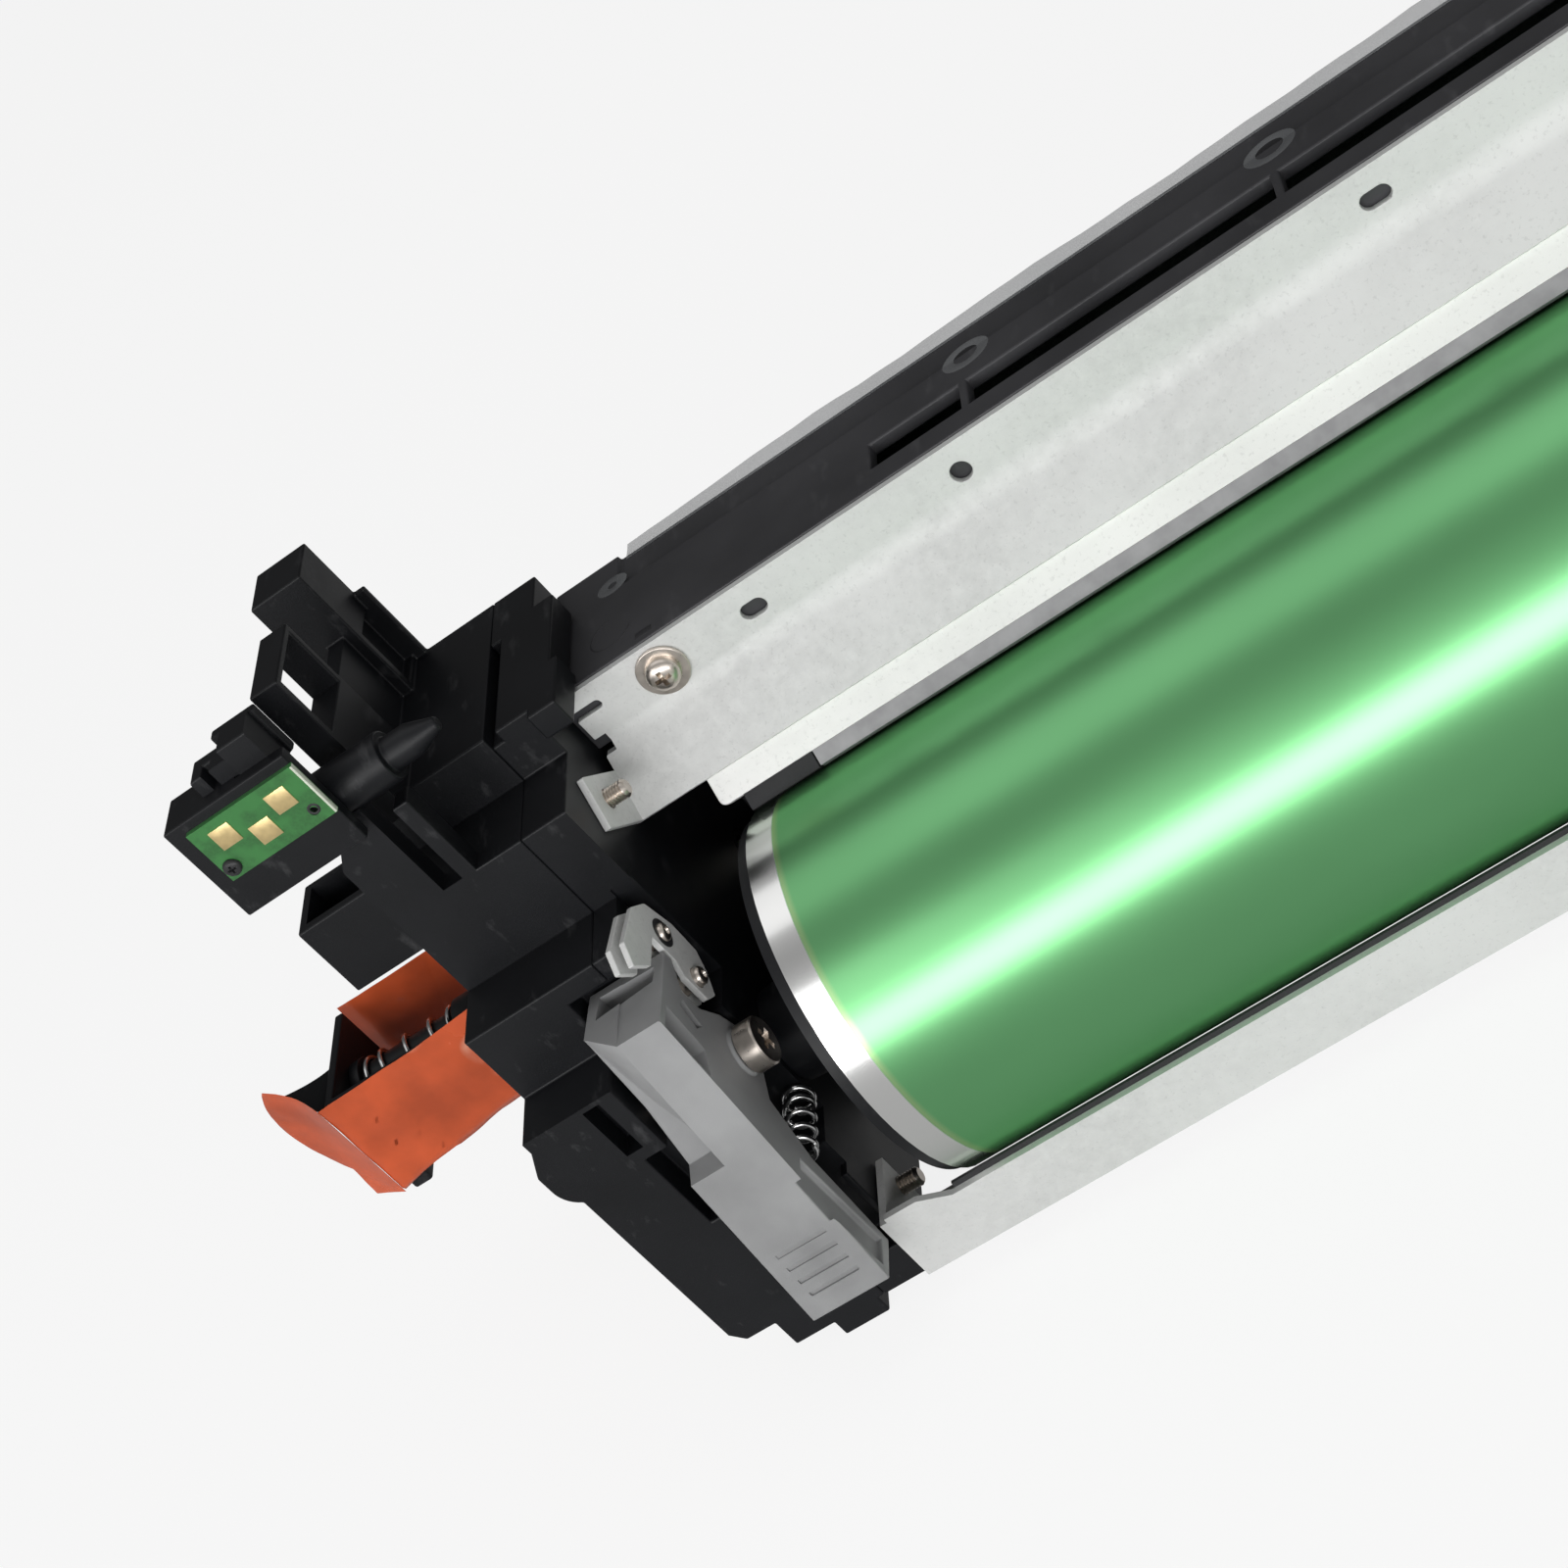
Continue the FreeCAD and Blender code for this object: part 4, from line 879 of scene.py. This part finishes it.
def wound_wire(radius, wire, length, turns):
    """A round-wire spring about Z from height 0, with a closed turn at each end."""
    bm = bmesh.new()
    ring = upright_ring(bm, wire, 10)
    shift(bm, (radius, 0.0, wire), ring)
    last = ring + bm.edges[:]
    closed = 2.1 * wire
    free = length - 2 * wire - 2 * closed
    for count, rise in ((1.0, closed), (turns - 2.0, free), (1.0, closed)):
        steps = round(count * 22)
        spun = bmesh.ops.spin(
            bm, geom=last, cent=(0, 0, 0), axis=(0, 0, 1), dvec=(0, 0, rise / steps),
            angle=math.tau * count, steps=steps, use_merge=False, use_duplicate=False,
        )
        last = spun["geom_last"]
    bmesh.ops.remove_doubles(bm, verts=bm.verts, dist=WELD / 2)
    close_ends(bm)
    return bm


def arc_mark(radius, half_width, sweep=360.0, start=0.0):
    """A low round-topped arc about Z, in degrees."""
    bm = bmesh.new()
    ring = upright_ring(bm, half_width, 8)
    bmesh.ops.scale(bm, verts=ring, vec=(1.0, 1.0, 0.5))
    shift(bm, (radius, 0.0, 0.0), ring)
    turn(bm, start, "Z", ring)
    bmesh.ops.spin(
        bm, geom=bm.verts[:] + bm.edges[:], cent=(0, 0, 0), axis=(0, 0, 1),
        angle=math.radians(sweep), steps=40, use_merge=sweep >= 360.0,
    )
    close_ends(bm)
    return bm


def between(stations, share):
    """A row of a station table, part way along it by its first column."""
    first, last = stations[0][0], stations[-1][0]
    x = first + (last - first) * share
    for low, high in zip(stations, stations[1:]):
        if high[0] <= x <= low[0] or high is stations[-1]:
            part = (x - low[0]) / (high[0] - low[0])
            return [a + (b - a) * part for a, b in zip(low, high)]
    return list(stations[-1])


def crumple(place, size):
    """A small crease-like shift at a place, in metres."""
    fine = noise.turbulence(place * 70.0, 3, True)
    broad = noise.noise(place * 38.0 + Vector((7.1, 3.3, 1.7)))
    return (broad * 0.8 + fine * 0.5 - 0.25) * size


def formed_sheet(columns, rows, form, thickness):
    """A thin sheet from a grid, laid by a form that turns a point's two shares into a place."""
    bm = bmesh.new()
    bmesh.ops.create_grid(bm, x_segments=columns, y_segments=rows, size=0.5)
    for vert in bm.verts:
        vert.co = form(vert.co.x + 0.5, vert.co.y + 0.5)
    bmesh.ops.solidify(bm, geom=bm.faces[:], thickness=thickness)
    return bm


def tape_round_tray():
    """The tape's main length: over the tray's front wall, under its floor and up its back."""

    def form(along, round_it):
        """A point's place, by its shares along the tray and round it."""
        x, front, floor, top = between(TAPE_STATIONS, along)
        wall, base, back = top - floor, TAPE_BACK - front, TAPE_BACK_TOP - floor
        run = round_it * (wall + base + back)
        if run < wall:
            y, z, out = front, top - run, Vector((0, -1, 0))
        elif run < wall + base:
            y, z, out = front + run - wall, floor + (run - wall) * 0.02, Vector((0, 0, -1))
        else:
            y, z, out = TAPE_BACK, floor + run - wall - base, Vector((0, 1, 0))
        place = Vector((x, y, z)) * MM
        edge = min(1.0, along * 8.0 + 0.15)
        return place + out * (crumple(place, 0.9 * MM) * edge + 0.3 * MM)

    bm = formed_sheet(64, 60, form, TAPE_THICKNESS)
    return piece_from(bm, "outlet_tape_sheet", "outlet_tape", "frame", ("outlet_film",), SMOOTH_TAPE)


def tape_flap():
    """The tape's loose end, bent back beyond the tray's end wall."""

    def form(out, up):
        """A point's place, by its shares out from the tray and up its edge."""
        root = Vector((-98.6, 24.3, -4.0 + 21.0 * up))
        reach = 7.6 + 5.4 * math.sin(math.pi * min(1.0, (1.0 - up) * 1.25)) ** 0.8
        low = max(0.0, 0.32 - up)
        side = Vector((-0.86, 0.5, 0.0)) * reach * out
        lift = Vector((0.0, 0.0, 4.6 * out * (0.35 + up) - 5.0 * low * out))
        curl = Vector((0.2, 0.6, 0.0)) * 1.6 * math.sin(math.pi * out) * up
        place = (root + side + lift + curl) * MM
        return place + Vector((-0.5, -0.86, 0.0)) * crumple(place, 1.0 * MM) * out

    bm = formed_sheet(26, 30, form, TAPE_THICKNESS)
    return piece_from(bm, "outlet_tape_flap", "outlet_tape", "frame", (), SMOOTH_TAPE)


def spout():
    """The black lip that leans out over the tray's end wall."""

    def form(out, along):
        """A point's place, by its shares out from the wall and along it."""
        x = -98.2 - 5.4 * along ** 1.2 * out
        y = 40.5 - 15.0 * along + 3.3 * out * along
        z = 14.6 + 5.6 * along ** 1.5 * out - 0.6 * (1.0 - along)
        return Vector((x, y, z)) * MM

    bm = formed_sheet(12, 12, form, 0.8 * MM)
    return piece_from(bm, "outlet_spout", "black_moulding", "frame", (), 60.0)


# Operators


class PieceOperator:
    """What the operators share."""

    bl_options = {"REGISTER", "UNDO"}


class DRUMUNIT_OT_plain_nodes(PieceOperator, bpy.types.Operator):
    """Give every CAD piece the finish of its material slot"""

    bl_idname = "drum_unit.plain_nodes"
    bl_label = "Finish the frame's pieces"

    def execute(self, context):
        for node in frame["nodes"]:
            dress(node)
        return {"FINISHED"}


class DRUMUNIT_OT_mouldings(PieceOperator, bpy.types.Operator):
    """Round the edges of the black mouldings and the lever"""

    bl_idname = "drum_unit.mouldings"
    bl_label = "Mouldings"

    def execute(self, context):
        for node in MOULDINGS:
            bm = merged(node)
            if node == "front_cover":
                bm = carve(bm, block(*COVER_POCKET, 0.1))
            finish = "housing_moulding" if node == "cleaner_housing" else None
            rounded(bm, node, MOULDING_ROUND, finish=finish)
        lever()
        return {"FINISHED"}


class DRUMUNIT_OT_plates(PieceOperator, bpy.types.Operator):
    """Round the edges of the zinc stay, the holder strip and the latch plates"""

    bl_idname = "drum_unit.plates"
    bl_label = "Sheet-metal plates"

    def execute(self, context):
        for node in PLATES:
            bm = merged(node)
            if node == "blade_holder":
                round_ends(bm, STRIP_END_ROUND)
            rounded(bm, node, PLATE_ROUND, 1)
        return {"FINISHED"}


class DRUMUNIT_OT_springs(PieceOperator, bpy.types.Operator):
    """Wind the two round-wire springs"""

    bl_idname = "drum_unit.springs"
    bl_label = "Springs"

    def execute(self, context):
        for node, axis, turns, joint, travel in SPRINGS:
            low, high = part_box(node)
            middle = (low + high) / 2
            index = "XYZ".index(axis)
            length = high[index] - low[index]
            outer = (high[(index + 1) % 3] - low[(index + 1) % 3]) / 2
            bm = wound_wire(outer - WIRE, WIRE, length, turns)
            turn(bm, *SPRING_TURNS[axis])
            start = Vector(middle)
            start[index] = low[index]
            shift(bm, start)
            piece = piece_from(bm, f"{node}_wire", "spring_steel", "frame", (node,), SMOOTH_WIRE)
            anchor = Vector(middle)
            anchor[index] = low[index] if joint == "shutter_slide" else high[index]
            way = Vector((0.0, 0.0, 0.0))
            way[index] = 1.0
            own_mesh(piece)
        return {"FINISHED"}


class DRUMUNIT_OT_screws(PieceOperator, bpy.types.Operator):
    """Turn the screws, with threads, round heads and cross recesses"""

    bl_idname = "drum_unit.screws"
    bl_label = "Screws"

    def execute(self, context):
        low, high, middle, radius = turned_box("stay_screws")
        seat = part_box("stay_washers")[0].y
        places = [Vector((x, seat, middle.z)) for x in (low.x + radius, high.x - radius)]
        screw("stay_screws", places, TO_FRONT, radius, seat - low.y, STAY_SHANK, high.y - seat)
        low, high, middle, radius = turned_box("lever_pivot_screw")
        seat = high.x - PIVOT_HEAD
        screw(
            "lever_pivot_screw", [Vector((seat, middle.y, middle.z))], TO_DRUM,
            radius * PIVOT_HEAD_WIDER, high.x - seat, PIVOT_SHANK, seat - low.x,
            FLAT_HEAD, threaded=False,
        )
        low, high, middle, radius = turned_box("chip_screw")
        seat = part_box("chip_board")[0].y
        screw(
            "chip_screw", [Vector((middle.x, seat, middle.z))], TO_FRONT,
            radius, seat - low.y, BOARD_SHANK, high.y - seat, slot="bearing_moulding",
        )
        for nodes, profile, smooth_angle in (
            (("tab_screw", "lower_stay_screw"), threaded_end, 30.0),
            (("latch_screw", "latch_pin"), stud, 50.0),
        ):
            for node in nodes:
                low, high, middle, radius = turned_box(node)
                bm = lathed(profile(radius, high.x - low.x))
                lay(bm, TO_DRUM, Vector((high.x, middle.y, middle.z)))
                piece_from(bm, f"{node}_turned", "screw_metal", "frame", (node,), smooth_angle)
        # A thin dark disc on the outer latch plate round the latch screw: painted shade standing for
        # the sunken slot that the screw sits in.
        low, high, middle, radius = turned_box("latch_screw")
        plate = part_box("latch_plate_outer")[1].x
        wide, top, bottom = radius * 1.55, 0.06 * MM, -0.1 * MM
        bm = lathed([(0.0, top), (wide, top), (wide, bottom), (0.0, bottom)])
        lay(bm, TO_DRUM, Vector((plate, middle.y, middle.z)))
        piece_from(bm, "latch_screw_slot_shade", "bearing_moulding", "frame")
        return {"FINISHED"}


class DRUMUNIT_OT_outlet(PieceOperator, bpy.types.Operator):
    """Shape the outlet's tray and the orange tape round it"""

    bl_idname = "drum_unit.outlet"
    bl_label = "Waste outlet"

    def execute(self, context):
        bm = merged("outlet_tray")
        slope = Vector((TAPE_RISE, 0.0, -1.0)).normalized()
        trim(bm, Vector(TRAY_END) * MM, slope)
        trim(bm, Vector((0.0, TRAY_BACK, 0.0)) * MM, Vector((0.0, 1.0, 0.0)))
        rounded(bm, "outlet_tray", TRAY_ROUND)
        tape = tape_round_tray()
        tape_flap()
        spout()
        for node in ("outlet_pipe", "outlet_shutter"):
            rounded(merged(node), node, PIPE_ROUND, 1)
        piece_from(block(*OUTLET_FOOT, 0.5), "outlet_foot", "black_moulding", "frame")
        return {"FINISHED"}


class DRUMUNIT_OT_roof(PieceOperator, bpy.types.Operator):
    """Add the clear strip and the small moulded marks on the housing's roof"""

    bl_idname = "drum_unit.roof"
    bl_label = "Housing roof"

    def execute(self, context):
        low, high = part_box("top_film")

        def form(across, out):
            """A point's place, by its shares along the roof's edge and out over it."""
            x = low.x + (high.x - low.x) * across
            place = Vector((x, low.y + (high.y - low.y) * out, (low.z + high.z) / 2))
            wave = noise.noise(place * 45.0) * 0.9 + noise.noise(place * 150.0) * 0.25
            place.z += wave * out * MM
            return place

        strip = formed_sheet(96, 5, form, 0.1 * MM)
        piece_from(strip, "top_film_strip", "clear_film", "frame", ("top_film",), SMOOTH_TAPE)
        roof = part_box("cleaner_housing")[1].z / MM
        bm = arc_mark(3.6 * MM, 0.14 * MM, 250.0, 95.0)
        shift(bm, Vector((*ROOF_RING, roof - 0.02)) * MM)
        piece_from(bm, "roof_ring_mark", "bearing_moulding", "frame")
        surface = merged("cleaner_housing")
        tree = BVHTree.FromBMesh(surface)
        for x, y, ring in ROOF_SMUDGES:
            hit = tree.ray_cast(Vector((x, y, 200.0)) * MM, Vector((0.0, 0.0, -1.0)))[0]
            bm = arc_mark(ring * MM, 0.95 * MM)
            bmesh.ops.scale(bm, verts=bm.verts, vec=(1.0, 0.8, 0.12))
            shift(bm, (x * MM, y * MM, hit.z + 0.01 * MM))
            piece_from(bm, f"roof_haze_{x:.0f}", "clear_film", "frame")
        surface.free()
        notch = block(*ROOF_NOTCH, (roof - 0.4, roof + 0.05), 0.15)
        piece_from(notch, "roof_notch", "bearing_moulding", "frame")
        return {"FINISHED"}


class DRUMUNIT_OT_board(PieceOperator, bpy.types.Operator):
    """Add the contact board's bare edge, its hole and the rounded gold pads"""

    bl_idname = "drum_unit.board"
    bl_label = "Contact board"

    def execute(self, context):
        low, high = (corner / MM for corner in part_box("chip_board"))
        edge = block(
            (high.x - 0.35, high.x + 0.02), (low.y - 0.03, high.y - 0.1),
            (low.z + 0.05, high.z - 0.05), 0.08,
        )
        piece_from(edge, "board_bare_edge", "board_fibre", "frame")
        thick = [corner.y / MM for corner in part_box("chip_contacts")]
        for index, (x, z) in enumerate(PAD_PLACES):
            pad = block((x - PAD_HALF, x + PAD_HALF), thick, (z - PAD_HALF, z + PAD_HALF), 0.04)
            piece_from(pad, f"board_pad_{index}", "contact_gold", "frame", ("chip_contacts",))
        bm = arc_mark(0.75 * MM, 0.2 * MM)
        turn(bm, 90.0, "X")
        shift(bm, Vector((EYELET[0], low.y, EYELET[1])) * MM)
        piece_from(bm, "board_eyelet", "bearing_moulding", "frame")
        return {"FINISHED"}


class DRUMUNIT_OT_stage(PieceOperator, bpy.types.Operator):
    """Set up the floor, the lamps and the camera"""

    bl_idname = "drum_unit.stage"
    bl_label = "Stage"

    def execute(self, context):
        make_floor()
        make_world()
        make_lamps()
        make_camera()
        context.scene.view_settings.view_transform = "Standard"
        return {"FINISHED"}


# Stage

FLOOR_HALF = 15.0
FLOOR_PLACE = (0.15, 0.0, FLOOR_Z - 0.2 * MM)
FLOOR_GLOW = 0.86
FLOOR_IN_REFLECTIONS = 0.42
WHITE = (1.0, 1.0, 1.0, 1.0)

# The room's brightness in reflections, by degrees up from the front horizon and over to the back

SKY_BANDS = (
    (-90.0, 0.5),
    (-22.0, 0.5),
    (2.0, 0.9),
    (24.0, 1.0),
    (46.0, 0.5),
    (68.0, 0.32),
    (92.0, 0.5),
    (110.0, 0.44),
    (132.0, 0.12),
    (180.0, 0.05),
)

# Soft boxes as (name, place, aim, width and height, watts)

LAMPS = (
    ("overhead", (0.15, 0.15, 0.95), (0.15, 0.0, 0.0), (1.3, 0.5), 1.1),
    ("front_left", (-0.65, -0.75, 0.6), (0.0, 0.0, 0.0), (0.6, 0.6), 1.7),
    ("front_strip", (0.1, -0.97, 0.24), (0.1, 0.0, 0.0), (1.5, 0.32), 7.2),
)


def make_floor():
    """A wide plain floor: white to the camera, darker in reflections, matt under the lamps."""
    bm = bmesh.new()
    bmesh.ops.create_grid(bm, x_segments=1, y_segments=1, size=FLOOR_HALF)
    shift(bm, FLOOR_PLACE)
    mesh = bpy.data.meshes.new("floor")
    bm.to_mesh(mesh)
    bm.free()
    floor = bpy.data.objects.new("floor", mesh)
    bpy.context.scene.collection.objects.link(floor)
    w = Wiring("floor_white")
    w.set(Roughness=0.9, Specular_IOR_Level=0.1)
    pale = tuple(stage_settings().floor_colour)
    w.link(w.mix(w.span(w.noise(3.0), 0.3, 0.7), shade(pale, 0.99), pale), "Base Color")
    glossy, seen = w.seen()
    strength = w.span(glossy, 0.0, 1.0, 1.0, FLOOR_IN_REFLECTIONS)
    glow = w.new("ShaderNodeEmission", {"Color": WHITE, "Strength": strength})
    parts = {0: w.times(seen, FLOOR_GLOW), 1: w.shader.outputs["BSDF"], 2: glow.outputs["Emission"]}
    blend = w.new("ShaderNodeMixShader", parts).outputs["Shader"]
    w.links.new(blend, w.nodes["Material Output"].inputs["Surface"])
    mesh.materials.append(w.material)


def make_world():
    """White to the camera, bands of grey in reflections, and a plain level of light."""
    world = bpy.data.worlds.new("studio")
    bpy.context.scene.world = world
    w = NodeTree(world, "Background")
    glossy, seen = w.seen()
    way = w.new("ShaderNodeSeparateXYZ", {0: w.coordinates["Generated"]}).outputs
    height = w.maths("ARCTAN2", way["Z"], w.times(way["Y"], -1.0))
    sky = w.new("ShaderNodeValToRGB", {"Fac": w.span(height, -math.pi, math.pi)})
    sky.color_ramp.interpolation = "EASE"
    elements = sky.color_ramp.elements
    while len(elements) < len(SKY_BANDS):
        elements.new(0.5)
    for element, (degrees, bright) in zip(elements, SKY_BANDS):
        element.position = degrees / 360.0 + 0.5
        element.color = (bright, bright, bright, 1.0)
    shown = w.new("ShaderNodeMix", {0: glossy, 2: 1.0, 3: sky.outputs["Color"]}).outputs[0]
    w.set(Color=WHITE)
    w.link(w.span(seen, 0.0, 1.0, stage_settings().daylight, shown), "Strength")


def make_lamps():
    """Soft boxes round the unit."""
    for name, place, aim, size, power in LAMPS:
        light = bpy.data.lights.new(name, "AREA")
        light.shape = "RECTANGLE"
        light.size, light.size_y = size
        light.energy = power
        holder = bpy.data.objects.new(name, light)
        holder.location = place
        way = Vector(aim) - Vector(place)
        holder.rotation_euler = way.to_track_quat("-Z", "Y").to_euler()
        holder.visible_camera = False
        bpy.context.scene.collection.objects.link(holder)


# The camera's right, up and back

CAMERA_AXES = ((0.795, -0.027, -0.606), (0.507, 0.578, 0.639), (0.334, -0.815, 0.473))


def make_camera():
    """The camera where the photograph was taken from."""
    camera = bpy.data.cameras.new("camera")
    camera.lens = stage_settings().lens
    camera.sensor_width = 36.0
    camera.clip_start = 0.01
    holder = bpy.data.objects.new("camera", camera)
    holder.rotation_euler = Matrix(CAMERA_AXES).transposed().to_euler()
    holder.location = stage_settings().station
    bpy.context.scene.collection.objects.link(holder)
    bpy.context.scene.camera = holder


class DRUMUNIT_PT_panel(bpy.types.Panel):
    """Lists the steps that dress the unit"""

    bl_idname = "DRUMUNIT_PT_panel"
    bl_label = "Printer drum unit"
    bl_space_type = "VIEW_3D"
    bl_region_type = "UI"
    bl_category = "Drum Unit"

    def draw(self, context):
        for name in DrumUnitFinishes.__annotations__:
            self.layout.prop(context.scene.drum_unit_finishes, name)
        for name in DrumUnitStage.__annotations__:
            self.layout.prop(context.scene.drum_unit_stage, name)
        for step in STEPS:
            self.layout.operator(step.bl_idname)


STEPS = (
    DRUMUNIT_OT_plain_nodes,
    DRUMUNIT_OT_mouldings,
    DRUMUNIT_OT_plates,
    DRUMUNIT_OT_springs,
    DRUMUNIT_OT_screws,
    DRUMUNIT_OT_outlet,
    DRUMUNIT_OT_roof,
    DRUMUNIT_OT_board,
    DRUMUNIT_OT_stage,
)
SETTINGS = {"drum_unit_finishes": DrumUnitFinishes, "drum_unit_stage": DrumUnitStage}


def register():
    """Makes the settings, steps and panel known to Blender."""
    for kind in (*SETTINGS.values(), *STEPS, DRUMUNIT_PT_panel):
        bpy.utils.register_class(kind)
    for name, kind in SETTINGS.items():
        setattr(bpy.types.Scene, name, bpy.props.PointerProperty(type=kind))


def unregister():
    """Takes them away again."""
    for name in SETTINGS:
        delattr(bpy.types.Scene, name)
    for kind in reversed((*SETTINGS.values(), *STEPS, DRUMUNIT_PT_panel)):
        bpy.utils.unregister_class(kind)


def main():
    """Dresses the unit step by step."""
    register()
    for step in STEPS:
        group, action = step.bl_idname.split(".")
        getattr(getattr(bpy.ops, group), action)()


if __name__ == "__main__":
    main()
